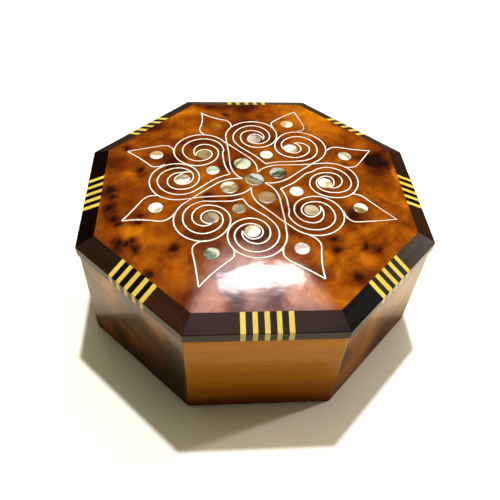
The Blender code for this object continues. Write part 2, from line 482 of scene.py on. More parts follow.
class LacquerSkin(Effect):
    """A brushed gloss lacquer: a slow ripple, faint hairline scratches and a little settled dust."""

    title = "lacquer skin"
    takes = (VECTOR_IN, Terminal("Gloss", start=0.08))
    gives = (Terminal("Height"), Terminal("Roughness"), Terminal("Dust"))
    ripple_density = 170.0
    ripple_share = 0.8
    peel_density = 620.0
    peel_share = 0.12
    scratch_density = 1500.0
    scratch_stretch: Point = (0.03, 1.0, 1.0)
    scratch_edges: Span = (0.66, 0.74)
    scratch_roughness = 0.07
    wiped_density = 60.0
    wiped_edges: Span = (0.35, 0.70)
    wiped_roughness = 0.03
    mote_density = 420.0
    mote_edges: Span = (0.075, 0.030)

    def build(self, sheet: NodeSheet, given: bpy.types.NodeOutputs) -> dict[str, Socket]:
        """Make the skin's height and roughness, and a mask of its dust.

        Args:
            sheet: The group's sheet.
            given: The group's inputs.

        Returns:
            The height, the roughness and the dust.
        """
        ripple = sheet.noise(given["Vector"], self.ripple_density, detail=1.0)
        peel = sheet.noise(given["Vector"], self.peel_density, detail=1.0)
        bent = sheet.swayed(given["Vector"], density=30.0, reach=0.02)
        brushed = sheet.vector_math("MULTIPLY", bent, self.scratch_stretch)
        scratches = sheet.range(sheet.noise(brushed, self.scratch_density), *self.scratch_edges)
        patchy = sheet.noise(given["Vector"], self.wiped_density, detail=3.0)
        wiped = sheet.math("MULTIPLY", sheet.range(patchy, *self.wiped_edges), self.wiped_roughness)
        rough = sheet.math("ADD", given["Gloss"], wiped)
        rough = sheet.math("ADD", rough, sheet.math("MULTIPLY", scratches, self.scratch_roughness))
        settled = {"Vector": given["Vector"], "Scale": self.mote_density}
        motes = sheet.add("ShaderNodeTexVoronoi", settled).outputs["Distance"]
        return {
            "Height": sheet.shares(ripple, self.ripple_share, peel, self.peel_share),
            "Roughness": rough,
            "Dust": sheet.range(motes, *self.mote_edges),
        }


class Nacre(Effect):
    """Mother of pearl: a bright field and a shaded one, partly the shell's own colour and partly painted
    sheen, a dark line where they meet, and fine layers.

    The place is taken from the disc's middle in disc radii, and the lie is the way from shaded to bright.
    """

    title = "nacre"
    takes = (
        VECTOR_IN,
        Terminal("Middle", "NodeSocketVector"),
        Terminal("Radius", start=0.003),
        Terminal("Lie", start=0.0),
        Terminal("Split", start=0.0),
        Terminal("Bright", "NodeSocketColor"),
        Terminal("Shade", "NodeSocketColor"),
        Terminal("Line", "NodeSocketColor"),
        Terminal("Line Weight", start=0.5),
    )
    gives = (Terminal("Color", "NodeSocketColor"), Terminal("Layers"))
    field_softness = 0.28
    line_offset = 0.12
    line_reach = 0.34
    layer_stretch: Point = (1.0, 0.22, 1.0)
    layer_density = 1500.0
    layer_edges: Span = (0.32, 0.68)
    layer_tones: Span = (0.66, 1.06)
    glint_density = 760.0
    glint_edges: Span = (0.50, 0.68)
    shade_edges: Span = (0.50, 0.32)
    glint_weight = 0.5

    def build(self, sheet: NodeSheet, given: bpy.types.NodeOutputs) -> dict[str, Socket]:
        """Make the shell's colour, and a mask of its layers.

        Args:
            sheet: The group's sheet.
            given: The group's inputs.

        Returns:
            The colour and the layers.
        """
        curved = sheet.swayed(given["Vector"], density=260.0, reach=0.0030)
        apart = sheet.vector_math("SUBTRACT", curved, given["Middle"])
        turned = sheet.turned(apart, sheet.math("MULTIPLY", given["Lie"], -1.0), "Z")
        reached = sheet.math("DIVIDE", sheet.part(turned, "X"), given["Radius"])
        share = sheet.math("SUBTRACT", reached, given["Split"])
        lit = sheet.range(share, -self.field_softness, self.field_softness, soft=True)
        colour = sheet.blend(lit, given["Shade"], given["Bright"])
        off_line = sheet.math("ABSOLUTE", sheet.math("ADD", share, self.line_offset))
        line = sheet.range(off_line, self.line_reach, 0.0, soft=True)
        colour = sheet.blend(sheet.math("MULTIPLY", line, given["Line Weight"]), colour, given["Line"])

        layered = sheet.vector_math("MULTIPLY", turned, self.layer_stretch)
        fine = sheet.noise(layered, self.layer_density, detail=3.0, roughness=0.6)
        layers = sheet.range(fine, *self.layer_edges)
        broad = sheet.noise(layered, self.glint_density)
        for edges, name in ((self.glint_edges, "Bright"), (self.shade_edges, "Shade")):
            glint = sheet.range(broad, *edges, 0.0, self.glint_weight)
            colour = sheet.blend(glint, colour, given[name])
        lined = sheet.range(layers, 0.0, 1.0, *self.layer_tones)
        grey = sheet.add("ShaderNodeCombineColor", {"Red": lined, "Green": lined, "Blue": lined})
        return {"Color": sheet.blend(1.0, colour, grey.outputs["Color"], "MULTIPLY"), "Layers": layers}


# ---- Finishes ----


@dataclass(frozen=True)
class Finish:
    """A material that is built once under its name."""

    name: str

    def material(self) -> bpy.types.Material:
        """Find the finish's material, or build it when it is first asked for.

        Returns:
            The material.
        """
        made = bpy.data.materials.get(self.name)
        if made:
            return made
        made = bpy.data.materials.new(self.name)
        made.use_nodes = True
        sheet = NodeSheet(made.node_tree)
        shader = made.node_tree.nodes["Principled BSDF"]
        place = sheet.add("ShaderNodeTexCoord").outputs["Object"]
        for name, value in self.inputs(sheet, place).items():
            sheet.join(value, shader.inputs[name])
        return made

    def inputs(self, sheet: NodeSheet, place: Socket) -> dict[str, Value]:
        """Make what the shader is fed.

        Args:
            sheet: The material's sheet.
            place: The place on the piece, in metres.

        Returns:
            What the shader is fed.
        """
        raise NotImplementedError

    @staticmethod
    def bump(sheet: NodeSheet, height: Socket, depth: float) -> Socket:
        """A normal from a height that runs from 0 to 1, of this depth in metres."""
        given = {"Strength": 1.0, "Distance": depth, "Height": height}
        return sheet.add("ShaderNodeBump", given).outputs["Normal"]


@dataclass(frozen=True)
class LacqueredWood(Finish):
    """Wood under clear gloss lacquer. Each kind of wood gives its own colour.

    The shift moves the board to another place in the timber. The gloss is the lacquer's roughness, the
    shine its strength and the ripple its depth in metres. A polished coat over it has a weight of its own.
    """

    shift: Point = (0.0, 0.0, 0.0)
    gloss: float = 0.10
    shine: float = 0.5
    coat: float = 0.0
    ripple: float = 0.00003
    coat_roughness: float = 0.06
    coat_bending: float = 1.4
    dust: Colour = (0.55, 0.48, 0.40)
    dust_share: float = 0.12
    # Painted light and shade up a wall: the wood is multiplied by the foot's shade tint low down and by the
    # top's light tint high up.
    foot_shade_tint: Colour = (0.38, 0.24, 0.40)
    top_light_tint: Colour = (1.45, 1.60, 1.00)
    shading_height: float = 0.046

    def colour(self, sheet: NodeSheet, place: Socket) -> Socket:
        """The wood's colour at a place."""
        raise NotImplementedError

    def height_shaded(self, sheet: NodeSheet, place: Socket, wood: Socket, amount: float) -> Socket:
        """Paint light and shade up a wall: its wood is painted lighter and yellower towards its top and
        painted darker, as shade, towards its foot.

        Args:
            sheet: The material's sheet.
            place: The place on the board.
            wood: The wood's own colour.
            amount: 0 leaves the wood as it is.

        Returns:
            The colour with its painted light and shade.
        """
        if not amount:
            return wood
        up = sheet.range(sheet.part(place, "Z"), 0.0, self.shading_height)
        light_and_shade = sheet.blend(up, self.foot_shade_tint, self.top_light_tint)
        return sheet.blend(amount, wood, light_and_shade, "MULTIPLY")

    def inputs(self, sheet: NodeSheet, place: Socket) -> dict[str, Value]:
        """Make wood under a rippled lacquer, with a polished coat over it.

        Args:
            sheet: The material's sheet.
            place: The place on the board.

        Returns:
            What the shader is fed.
        """
        moved = sheet.vector_math("ADD", place, self.shift)
        skin = sheet.place(LacquerSkin(), {"Vector": moved, "Gloss": self.gloss})
        dusty = sheet.math("MULTIPLY", skin["Dust"], self.dust_share)
        return {
            "Base Color": sheet.blend(dusty, self.colour(sheet, moved), self.dust),
            "Roughness": skin["Roughness"],
            "Normal": self.bump(sheet, skin["Height"], self.ripple),
            "Specular IOR Level": self.shine,
            "Coat Weight": self.coat,
            "Coat Roughness": self.coat_roughness,
            "Coat IOR": self.coat_bending,
        }


@dataclass(frozen=True)
class Patch:
    """An oval patch of a board in millimetres: its middle, its reach across and along, and its amount."""

    x: float
    y: float
    across: float
    along: float
    amount: float

    def mask(self, sheet: NodeSheet, place: Socket, wider: float = 1.0) -> Socket:
        """Make the patch's soft mask, times its amount.

        Args:
            sheet: The material's sheet.
            place: The place on the board.
            wider: How many times its own reach it takes.

        Returns:
            The mask.
        """
        reach = (self.across * wider * MILLIMETRE, self.along * wider * MILLIMETRE, 1.0)
        given = {"Vector": place, "Place": (self.x * MILLIMETRE, self.y * MILLIMETRE, 0.0), "Reach": reach}
        return sheet.math("MULTIPLY", sheet.place(SoftSpot(), given)["Mask"], self.amount)


def ovals(*rows: tuple[float, ...]) -> tuple[Patch, ...]:
    """A patch for each row of x, y, reach across, reach along and amount."""
    return tuple(Patch(*row) for row in rows)


@dataclass(frozen=True)
class Burl(LacqueredWood):
    """Golden to red-brown burl, with the eyes of one board and its patches: mostly the board's own tone,
    some of them painted light and shade.

    The tone is the middle of the stops' range, and the clouds and streaks are how far they swing it. The
    wild eyes are how strong the eyes of the figure itself are, beside those that are given.
    """

    eyes: tuple[Patch, ...] = ()
    patches: tuple[Patch, ...] = ()
    figure_shift: Point = (0.0, 0.0, 0.0)
    wild_eyes: float = 1.0
    tone: float = 0.415
    clouds: float = 0.46
    streaks: float = 0.15
    upright: bool = False
    height_shading: float = 0.0
    halo_reach: float = 2.1
    halo_depth: float = 0.19
    wild_halo: float = 0.5
    eye_depth: float = 0.90
    eye_tone: Colour = (0.014, 0.0035, 0.0025)
    stops: tuple[Stop, ...] = (
        (0.00, (0.014, 0.0034, 0.0026)),
        (0.22, (0.078, 0.0145, 0.0022)),
        (0.42, (0.178, 0.0380, 0.0022)),
        (0.60, (0.300, 0.0800, 0.0030)),
        (0.78, (0.470, 0.1480, 0.0040)),
        (1.00, (0.700, 0.2750, 0.0090)),
    )

    def colour(self, sheet: NodeSheet, place: Socket) -> Socket:
        """Lay soft clouds and streaks over the board's patches, its own tone with some painted light and
        shade, and darken its eyes.

        Args:
            sheet: The material's sheet.
            place: The place on the board.

        Returns:
            The burl's colour.
        """
        face = sheet.turned(place, -math.pi / 2, "X") if self.upright else place
        figure = sheet.place(BurlFigure(), {"Vector": sheet.vector_math("ADD", face, self.figure_shift)})
        level = sheet.vector_math("MULTIPLY", face, LEVEL)
        ragged = sheet.swayed(level, density=300.0, reach=0.0032)
        drifted = sheet.swayed(level, density=90.0, reach=0.007)

        tone = sheet.math("MULTIPLY", sheet.math("SUBTRACT", figure["Clouds"], 0.5), self.clouds)
        tone = sheet.math("ADD", tone, self.tone)
        grain = sheet.math("MULTIPLY", sheet.math("SUBTRACT", figure["Streaks"], 0.5), self.streaks)
        tone = sheet.math("ADD", tone, grain)
        for patch in self.patches:
            tone = sheet.math("ADD", tone, patch.mask(sheet, drifted))

        eyes = sheet.math("MULTIPLY", figure["Eyes"], self.wild_eyes)
        halo = sheet.math("MULTIPLY", eyes, self.wild_halo)
        for eye in self.eyes:
            eyes = sheet.math("MAXIMUM", eyes, eye.mask(sheet, ragged))
            halo = sheet.math("MAXIMUM", halo, eye.mask(sheet, ragged, wider=self.halo_reach))
        tone = sheet.math("SUBTRACT", tone, sheet.math("MULTIPLY", halo, self.halo_depth))
        dark = sheet.math("MULTIPLY", sheet.math("MINIMUM", eyes, 1.0), self.eye_depth)
        wood = sheet.blend(dark, sheet.ramp(tone, self.stops), self.eye_tone)
        return self.height_shaded(sheet, place, wood, self.height_shading)


@dataclass(frozen=True)
class StraightWood(LacqueredWood):
    """Straight-grained wood between a pale and a deep tone, with the grain along X before it is turned."""

    pale: Colour = (0.47, 0.170, 0.006)
    deep: Colour = (0.32, 0.094, 0.003)
    pore: Colour = (0.12, 0.036, 0.002)
    contrast: float = 1.0
    band_share: float = 0.6
    streak_share: float = 0.4
    pore_weight: float = 0.5
    turn: Point | None = None
    height_shading: float = 0.0

    def colour(self, sheet: NodeSheet, place: Socket) -> Socket:
        """Lay bands and streaks between the two tones, with short pores.

        Args:
            sheet: The material's sheet.
            place: The place on the board.

        Returns:
            The wood's colour.
        """
        grained = place
        if self.turn:
            given = {"Vector": place, "Rotation": self.turn}
            rotate = sheet.add("ShaderNodeVectorRotate", given, rotation_type="EULER_XYZ")
            grained = rotate.outputs["Vector"]
        grain = sheet.place(LevelGrain(), {"Vector": grained})
        mixed = sheet.shares(grain["Bands"], self.band_share, grain["Streaks"], self.streak_share)
        swing = 0.5 / self.contrast
        wood = sheet.blend(sheet.range(mixed, 0.5 - swing, 0.5 + swing), self.pale, self.deep)
        wood = sheet.blend(sheet.math("MULTIPLY", grain["Pores"], self.pore_weight), wood, self.pore)
        return self.height_shaded(sheet, place, wood, self.height_shading)


@dataclass(frozen=True)
class Tint:
    """How a piece of shell looks: its two fields, their lie in degrees, their split and its line."""

    bright: Colour
    shade: Colour
    lie: float = 0.0
    split: float = 0.0
    line: Colour = (0.10, 0.08, 0.03)
    line_weight: float = 0.0


@dataclass(frozen=True)
class Shell(Finish):
    """A polished disc of mother of pearl."""

    tint: Tint
    middle: Place
    radius: float
    roughness: Span = (0.34, 0.18)
    layer_depth: float = 0.00001
    coat: float = 0.6
    coat_roughness: float = 0.05
    coat_bending: float = 1.45

    def inputs(self, sheet: NodeSheet, place: Socket) -> dict[str, Value]:
        """Make layered nacre under a thin clear coat.

        Args:
            sheet: The material's sheet.
            place: The place on the box.

        Returns:
            What the shader is fed.
        """
        given = {
            "Vector": sheet.vector_math("MULTIPLY", place, LEVEL),
            "Middle": (*self.middle, 0.0),
            "Radius": self.radius,
            "Lie": math.radians(self.tint.lie),
            "Split": self.tint.split,
            "Bright": self.tint.bright,
            "Shade": self.tint.shade,
            "Line": self.tint.line,
            "Line Weight": self.tint.line_weight,
        }
        nacre = sheet.place(Nacre(), given)
        return {
            "Base Color": nacre["Color"],
            "Roughness": sheet.range(nacre["Layers"], 0.0, 1.0, *self.roughness),
            "Normal": self.bump(sheet, nacre["Layers"], self.layer_depth),
            "Coat Weight": self.coat,
            "Coat Roughness": self.coat_roughness,
            "Coat IOR": self.coat_bending,
        }


@dataclass(frozen=True)
class Wire(Finish):
    """Bright white metal wire, dulled to a copper blush in places, and more so to the right."""

    bright: Colour = (0.96, 0.93, 0.86)
    blush: Colour = (0.66, 0.40, 0.28)
    speck: Colour = (0.55, 0.42, 0.35)
    blush_edges: Span = (0.48, 0.72)
    blush_weight: float = 0.65
    speck_edges: Span = (0.60, 0.75)
    speck_weight: float = 0.5
    roughness: Span = (0.38, 0.52)
    mark_depth: float = 0.00002
    metal: float = 0.25

    def inputs(self, sheet: NodeSheet, place: Socket) -> dict[str, Value]:
        """Make burnished metal with a patchy blush and file marks.

        Args:
            sheet: The material's sheet.
            place: The place on the box.

        Returns:
            What the shader is fed.
        """
        worn = sheet.math("ADD", sheet.noise(place, 55.0), sheet.part(place, "X"))
        dulled = sheet.range(worn, *self.blush_edges, 0.0, self.blush_weight, soft=True)
        marks = sheet.noise(place, 2600.0)
        spotted = sheet.noise(place, 900.0, detail=3.0)
        specks = sheet.range(spotted, *self.speck_edges, 0.0, self.speck_weight)
        return {
            "Base Color": sheet.blend(specks, sheet.blend(dulled, self.bright, self.blush), self.speck),
            "Roughness": sheet.spread(marks, *self.roughness),
            "Normal": self.bump(sheet, marks, self.mark_depth),
            "Metallic": self.metal,
        }


@dataclass(frozen=True)
class GlueLine(Finish):
    """The dark line of filler round an inlay."""

    dark: Colour = (0.012, 0.004, 0.002)
    brown: Colour = (0.035, 0.010, 0.003)
    brown_edges: Span = (0.4, 0.7)
    roughness: Span = (0.15, 0.35)

    def inputs(self, sheet: NodeSheet, place: Socket) -> dict[str, Value]:
        """Make dark filler with browner patches.

        Args:
            sheet: The material's sheet.
            place: The place on the box.

        Returns:
            What the shader is fed.
        """
        brownish = sheet.range(sheet.noise(place, 300.0), *self.brown_edges)
        return {
            "Base Color": sheet.blend(brownish, self.dark, self.brown),
            "Roughness": sheet.spread(sheet.noise(place, 1200.0), *self.roughness),
        }


@dataclass(frozen=True)
class FloorPaper(Finish):
    """The pale matt floor, and how polished wood mirrors it.

    For mirrored rays only, the paper's colour is painted: warm, painted brown as shade from the box's foot
    to the end of its shade, and painted dim between the near and the far distance. Distances are from the
    box's middle.
    """

    pale: Colour = (0.90, 0.90, 0.90)
    uneven: Colour = (0.80, 0.80, 0.78)
    uneven_weight: float = 0.04
    roughness: float = 0.9
    shine: float = 0.1
    warmth: Colour = (1.0, 0.91, 0.73)
    shade: Colour = (0.150, 0.062, 0.026)
    shade_weight: float = 0.78
    shade_start: float = 0.080
    shade_end: float = 0.097
    near: float = 0.17
    far: float = 0.30
    dimming: float = 0.90

    def inputs(self, sheet: NodeSheet, place: Socket) -> dict[str, Value]:
        """Make pale paper with the least unevenness.

        Args:
            sheet: The material's sheet.
            place: The place on the floor.

        Returns:
            What the shader is fed.
        """
        patchy = sheet.spread(sheet.noise(place, 30.0, detail=4.0), 0.0, self.uneven_weight)
        mirrored = sheet.add("ShaderNodeLightPath").outputs["Is Glossy Ray"]
        paper = sheet.blend(mirrored, sheet.blend(patchy, self.pale, self.uneven), self.warmth, "MULTIPLY")
        away = sheet.length(place)
        close = sheet.range(away, self.shade_start, self.shade_end, self.shade_weight, 0.0, soft=True)
        paper = sheet.blend(sheet.math("MULTIPLY", close, mirrored), paper, self.shade)
        far = sheet.range(away, self.near, self.far, 0.0, self.dimming, soft=True)
        return {
            "Base Color": sheet.blend(sheet.math("MULTIPLY", far, mirrored), paper, BLACK),
            "Roughness": self.roughness,
            "Specular IOR Level": self.shine,
        }


# ---- Shapes ----


BROADEST_FACE = 100
SMALLEST_EASING = 0.05 * MILLIMETRE


@dataclass
class Draft:
    """Points and faces gathered for one piece. Each face keeps the number of its finish."""

    points: list[Point] = field(default_factory=list)
    faces: list[tuple[int, ...]] = field(default_factory=list)
    finish_numbers: list[int] = field(default_factory=list)

    def row(self, points: Iterable[Sequence[float]]) -> list[int]:
        """Add a row of points.

        Args:
            points: The points.

        Returns:
            Their numbers.
        """
        start = len(self.points)
        self.points.extend(tuple(point) for point in points)
        return list(range(start, len(self.points)))

    def face(self, corners: Sequence[int], finish: int = 0) -> None:
        """Add one face."""
        self.faces.append(tuple(corners))
        self.finish_numbers.append(finish)

    def bridge(
        self, first: Sequence[int], second: Sequence[int], finish: int = 0, closed: bool = True
    ) -> None:
        """Join two rows of points with four-cornered faces.

        Args:
            first: One row.
            second: The other row, of the same length.
            finish: The number of the faces' finish.
            closed: True to join the rows' ends too.
        """
        count = len(first)
        for index in range(count if closed else count - 1):
            after = (index + 1) % count
            self.face((first[index], first[after], second[after], second[index]), finish)

    def fan(self, middle: int, ring: Sequence[int], finish: int = 0) -> None:
        """Close a ring with triangles to its middle."""
        for index, corner in enumerate(ring):
            self.face((middle, corner, ring[(index + 1) % len(ring)]), finish)

    def piece(
        self, name: str, finishes: Sequence[Finish], crisp: float = 28.0, flat_sided: bool = False
    ) -> bpy.types.Object:
        """Turn the draft into an object of the scene.

        Args:
            name: The piece's name.
            finishes: Its finishes, in the order of the faces' numbers.
            crisp: Edges sharper than this many degrees stay crisp.
            flat_sided: True to keep broad faces flat between their eased edges.

        Returns:
            The new object.
        """
        mesh = bpy.data.meshes.new(name)
        mesh.from_pydata(self.points, [], self.faces)
        mesh.polygons.foreach_set("material_index", self.finish_numbers)
        for finish in finishes:
            mesh.materials.append(finish.material())
        work = bmesh.new()
        work.from_mesh(mesh)
        bmesh.ops.recalc_face_normals(work, faces=work.faces)
        work.to_mesh(mesh)
        work.free()
        mesh.shade_smooth()
        mesh.set_sharp_from_angle(angle=math.radians(crisp))
        piece = bpy.data.objects.new(name, mesh)
        bpy.context.scene.collection.objects.link(piece)
        if flat_sided:
            shading = piece.modifiers.new("flat_sides", "WEIGHTED_NORMAL")
            shading.weight = BROADEST_FACE
            shading.keep_sharp = True
        return piece


@dataclass(frozen=True)
class Corner:
    """A corner of a section: how far out and how high it is, and the radius it is eased to."""

    out: float
    up: float
    easing: float = 0.0


def eased_section(corners: Sequence[Corner], steps: int = 4) -> list[Place]:
    """Round the corners of a closed section.

    Args:
        corners: The corners in order.
        steps: How many short lines each rounded corner takes.

    Returns:
        The section's points as (out, up).
    """
    points: list[Place] = []
    for index, corner in enumerate(corners):
        here = Vector((corner.out, corner.up))
        if corner.easing <= 0:
            points.append((here.x, here.y))
            continue
        before = corners[index - 1]
        after = corners[(index + 1) % len(corners)]
        to_before = (Vector((before.out, before.up)) - here).normalized()
        to_after = (Vector((after.out, after.up)) - here).normalized()
        half = to_before.angle(to_after) / 2
        reach = corner.easing / math.tan(half)
        middle = here + (to_before + to_after).normalized() * (corner.easing / math.sin(half))
        start = (here + to_before * reach - middle).normalized()
        end = (here + to_after * reach - middle).normalized()
        for step in range(steps + 1):
            spoke = start.slerp(end, step / steps) * corner.easing
            points.append(tuple(middle + spoke))
    return points


@dataclass(frozen=True)
class Board:
    """A board along one side of the octagon, made facing +Y, with its section the same all the way.

    An end is None where it is mitred, or else its place along the side.
    """

    section: Sequence[Place]
    inside: float
    outside: float
    corner_easing: float
    left: float | None = None
    right: float | None = None
    joints: tuple[float, ...] = ()
    corner_steps: int = 5

    def easing_at(self, out: float) -> float:
        """The radius of the upright corner at this distance from the middle."""
        share = (out - self.inside) / (self.outside - self.inside)
        return max(SMALLEST_EASING, self.corner_easing * share)

    def mitred_end(self, out: float) -> list[Place]:
        """Find the points from the mitre to where the rounding meets the flat, at the right end.

        Args:
            out: The distance from the box's middle.

        Returns:
            Places as (along, out).
        """
        easing = self.easing_at(out)
        middle_out = out - easing
        middle_along = middle_out * MITRE_SLOPE
        found = []
        for step in range(self.corner_steps + 1):
            turn = SIDE_TURN / 2 * (1 - step / self.corner_steps)
            along = middle_along + easing * math.sin(turn)
            found.append((along, middle_out + easing * math.cos(turn)))
        return found

    def level_line(self, out: float) -> list[Place]:
        """Find the points from the left end to the right end.

        Args:
            out: The distance from the box's middle.

        Returns:
            Places as (along, out).
        """
        if self.left is None:
            start = [(-along, far) for along, far in self.mitred_end(out)]
        else:
            start = [(self.left, out)]
        if self.right is None:
            end = self.mitred_end(out)[::-1]
        else:
            end = [(self.right, out)]
        return start + [(joint, out) for joint in self.joints] + end

    def draft(self, finish_of: Callable[[int], int] = lambda _: 0) -> Draft:
        """Build the board.

        Args:
            finish_of: Gives the finish of each stretch between two joints.

        Returns:
            The board's draft.
        """
        made = Draft()
        lines = [self.level_line(out) for out, _ in self.section]
        count = len(lines[0])
        rings = []
        for index in range(count):
            ring = [(*line[index], up) for line, (_, up) in zip(lines, self.section)]
            rings.append(made.row(ring))
        for index in range(count - 1):
            made.bridge(rings[index], rings[index + 1], finish_of(index))
        made.face(rings[0], finish_of(0))
        made.face(rings[-1][::-1], finish_of(count - 2))
        return made


@dataclass(frozen=True)
class Crown:
    """The panel's crowned top: round in the middle and eight-sided at its edge."""

    half_width: float = 0.06735
    rise: float = 0.0025
    edge_height: float = 0.0581

    def height(self, x: float, y: float) -> float:
        """Find how high the crown is.

        Args:
            x: The place's x.
            y: Its y.

        Returns:
            The height in metres from the floor.
        """
        radius = math.hypot(x, y)
        if radius == 0.0:
            return self.edge_height + self.rise
        to_side = max(
            x * math.cos(side * SIDE_TURN) + y * math.sin(side * SIDE_TURN) for side in range(SIDE_COUNT)
        )
        reach = to_side / self.half_width
        ratio = radius / self.half_width / (1 + reach**4 * (radius / to_side - 1))
        return self.edge_height + self.rise * (1 - ratio**2)

    def normal(self, x: float, y: float) -> Vector:
        """Find the crown's upward direction.

        Args:
            x: The place's x.
            y: Its y.

        Returns:
            The direction.
        """
        step = MILLIMETRE
        slope_x = (self.height(x + step, y) - self.height(x - step, y)) / (2 * step)
        slope_y = (self.height(x, y + step) - self.height(x, y - step)) / (2 * step)
        return Vector((-slope_x, -slope_y, 1.0)).normalized()

    def lifted(self, x: float, y: float, lift: float = 0.0) -> Vector:
        """The point that stands this far above the crown over a place."""
        return Vector((x, y, self.height(x, y))) + self.normal(x, y) * lift


def octagon(half_width: float, height: float, per_side: int) -> list[Point]:
    """Points round a level octagon with a flat side towards each axis.

    Args:
        half_width: From the middle to a flat side.
        height: How high it lies.
        per_side: How many points each side takes.

    Returns:
        The points, anticlockwise.
    """
    points = []
    for side in range(SIDE_COUNT):
        turn = side * SIDE_TURN
        for step in range(per_side):
            along = half_width * MITRE_SLOPE * (2 * step / per_side - 1)
            x = half_width * math.cos(turn) - along * math.sin(turn)
            y = half_width * math.sin(turn) + along * math.cos(turn)
            points.append((x, y, height))
    return points


# ---- The box ----


# The burl walls are browner and deeper than the lid. Their patches are laid out from the middle of the
# wall's foot, with x towards the left as the wall is seen from outside, and y up.
WALL_STOPS = (
    (0.00, (0.014, 0.0045, 0.0028)),
    (0.22, (0.057, 0.0150, 0.0030)),
    (0.42, (0.134, 0.0380, 0.0038)),
    (0.60, (0.246, 0.0790, 0.0060)),
    (0.78, (0.388, 0.1420, 0.0095)),
    (1.00, (0.550, 0.2350, 0.0180)),
)

WALL_PATCHES_AND_PAINTED_LIGHT = {
    # On the front left wall the light patch high at (20, 38) is a painted reflection of the lit floor. The
    # dark patches towards the front corner, at (-14, 8) and (-24, 30), are the burl's own dark tone deepened
    # with painted shade. The rest are the burl's own tone.
    Side.FRONT_LEFT: ovals(
        (-14, 8, 34, 22, -0.46), (-24, 30, 14, 24, -0.34), (-4, 40, 20, 12, -0.14), (20, 38, 20, 18, 0.26),
        (14, 16, 12, 10, 0.04), (-2, 27, 8, 6, 0.18), (-16, 24, 8, 5, 0.14), (8, 20, 5, 5, 0.12),
    ),
    Side.FRONT_RIGHT: ovals(
        (0, 38, 34, 14, 0.14), (14, 22, 24, 20, 0.36), (-2, 8, 12, 6, -0.24), (-20, 14, 14, 12, 0.14),
    ),
}


@dataclass
class WallRing:
    """The body's eight mitred walls."""

    outside: float = 0.0742
    thickness: float = 0.0080
    height: float = 0.0500
    corner_easing: float = 0.0016
    foot_easing: float = 0.0010
    top_easing: float = 0.0004
    inner_easing: float = 0.0003

    def finish(self, side: Side) -> Finish:
        """Choose burl or plain wood, each board from its own place in the timber.

        Args:
            side: The wall's side.

        Returns:
            The wall's finish.
        """
        shift = (0.31 * side.value, 0.17 * side.value, 0.0)
        # Every wall takes painted light and shade by height: the plain walls all of it, the burl walls a
        # share.
        if not side.is_burl:
            return StraightWood(f"plain_wall_{side.label}", shift=shift, shine=0.12, height_shading=1.0)
        return Burl(
            f"burl_wall_{side.label}",
            gloss=0.28,
            shine=0.10,
            coat=0.70,
            figure_shift=shift,
            patches=WALL_PATCHES_AND_PAINTED_LIGHT.get(side, ()),
            tone=0.43,
            clouds=0.55,
            upright=True,
            height_shading=0.6,
            stops=WALL_STOPS,
        )

    def build(self) -> list[bpy.types.Object]:
        """Make the walls, each in place of its node.

        Returns:
            The walls.
        """
        inside = self.outside - self.thickness
        corners = (
            Corner(inside, 0.0, self.inner_easing),
            Corner(self.outside, 0.0, self.foot_easing),
            Corner(self.outside, self.height, self.top_easing),
            Corner(inside, self.height, self.inner_easing),
        )
        board = Board(eased_section(corners), inside, self.outside, self.corner_easing)
        walls = []
        for side in Side:
            wall = board.draft().piece(f"wall_board_{side.label}", [self.finish(side)], flat_sided=True)
            wall.rotation_euler = (0.0, 0.0, side.turn)
            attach(wall, "root")
            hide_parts(f"wall_{side.label}")
            walls.append(wall)
        return walls


@dataclass
class FloorBoard:
    """The bottom board, which keeps the frame's own shape."""

    node: str = "floor_board"

    def dress(self) -> bpy.types.Object:
        """Give the frame's board its wood.

        Returns:
            The board.
        """
        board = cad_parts[self.node]
        finish = StraightWood("plain_floor_board", shift=(0.7, 0.4, 0.1), gloss=0.3, contrast=1.2)
        for slot in board.material_slots:
            slot.material = finish.material()
        return board


# The eyes and the light and dark patches of the lid's board, laid out from its middle.
LID_EYES = ovals(
    (-58.7, 29.2, 1.9, 2.3, 1.3), (-51.6, 11.9, 2.6, 3.2, 1.5), (-63.8, -0.6, 3.0, 2.6, 1.5),
    (-62.4, -4.8, 2.3, 2.5, 1.2), (-62.9, -12, 2.6, 2.2, 1.4), (-60.8, -14.6, 1.9, 1.9, 0.9),
    (-59.9, -18.7, 2.3, 1.9, 1.4), (-58.4, -22, 2.5, 2.3, 1.3), (-49.4, -17.4, 3.2, 2.1, 1.5),
    (-50, -21.2, 3.0, 2.0, 1.4), (-57.2, -32.4, 2.1, 3.3, 1.3), (-53.9, -33.2, 1.7, 1.8, 1.4),
    (-51.7, -31.6, 1.6, 1.9, 1.2), (-51.8, -34.2, 1.4, 1.6, 1.1), (-50.1, -36, 2.0, 2.4, 1.5),
    (-34.6, -36.7, 3.2, 2.8, 1.5), (-44, -49.5, 3.2, 2.5, 1.5), (-11.8, 56.9, 1.9, 2.1, 1.2),
    (-21.6, -5.4, 1.8, 1.6, 1.2), (-22, -8.6, 2.1, 1.6, 1.1), (30.5, -32.4, 2.4, 2.2, 1.5),
    (30.2, -38.4, 2.5, 2.3, 1.5), (43.1, -36.6, 1.8, 2.8, 1.2), (48, -38.4, 2.4, 3.1, 1),
    (36.8, -52.2, 2.3, 2.6, 1.1),
)
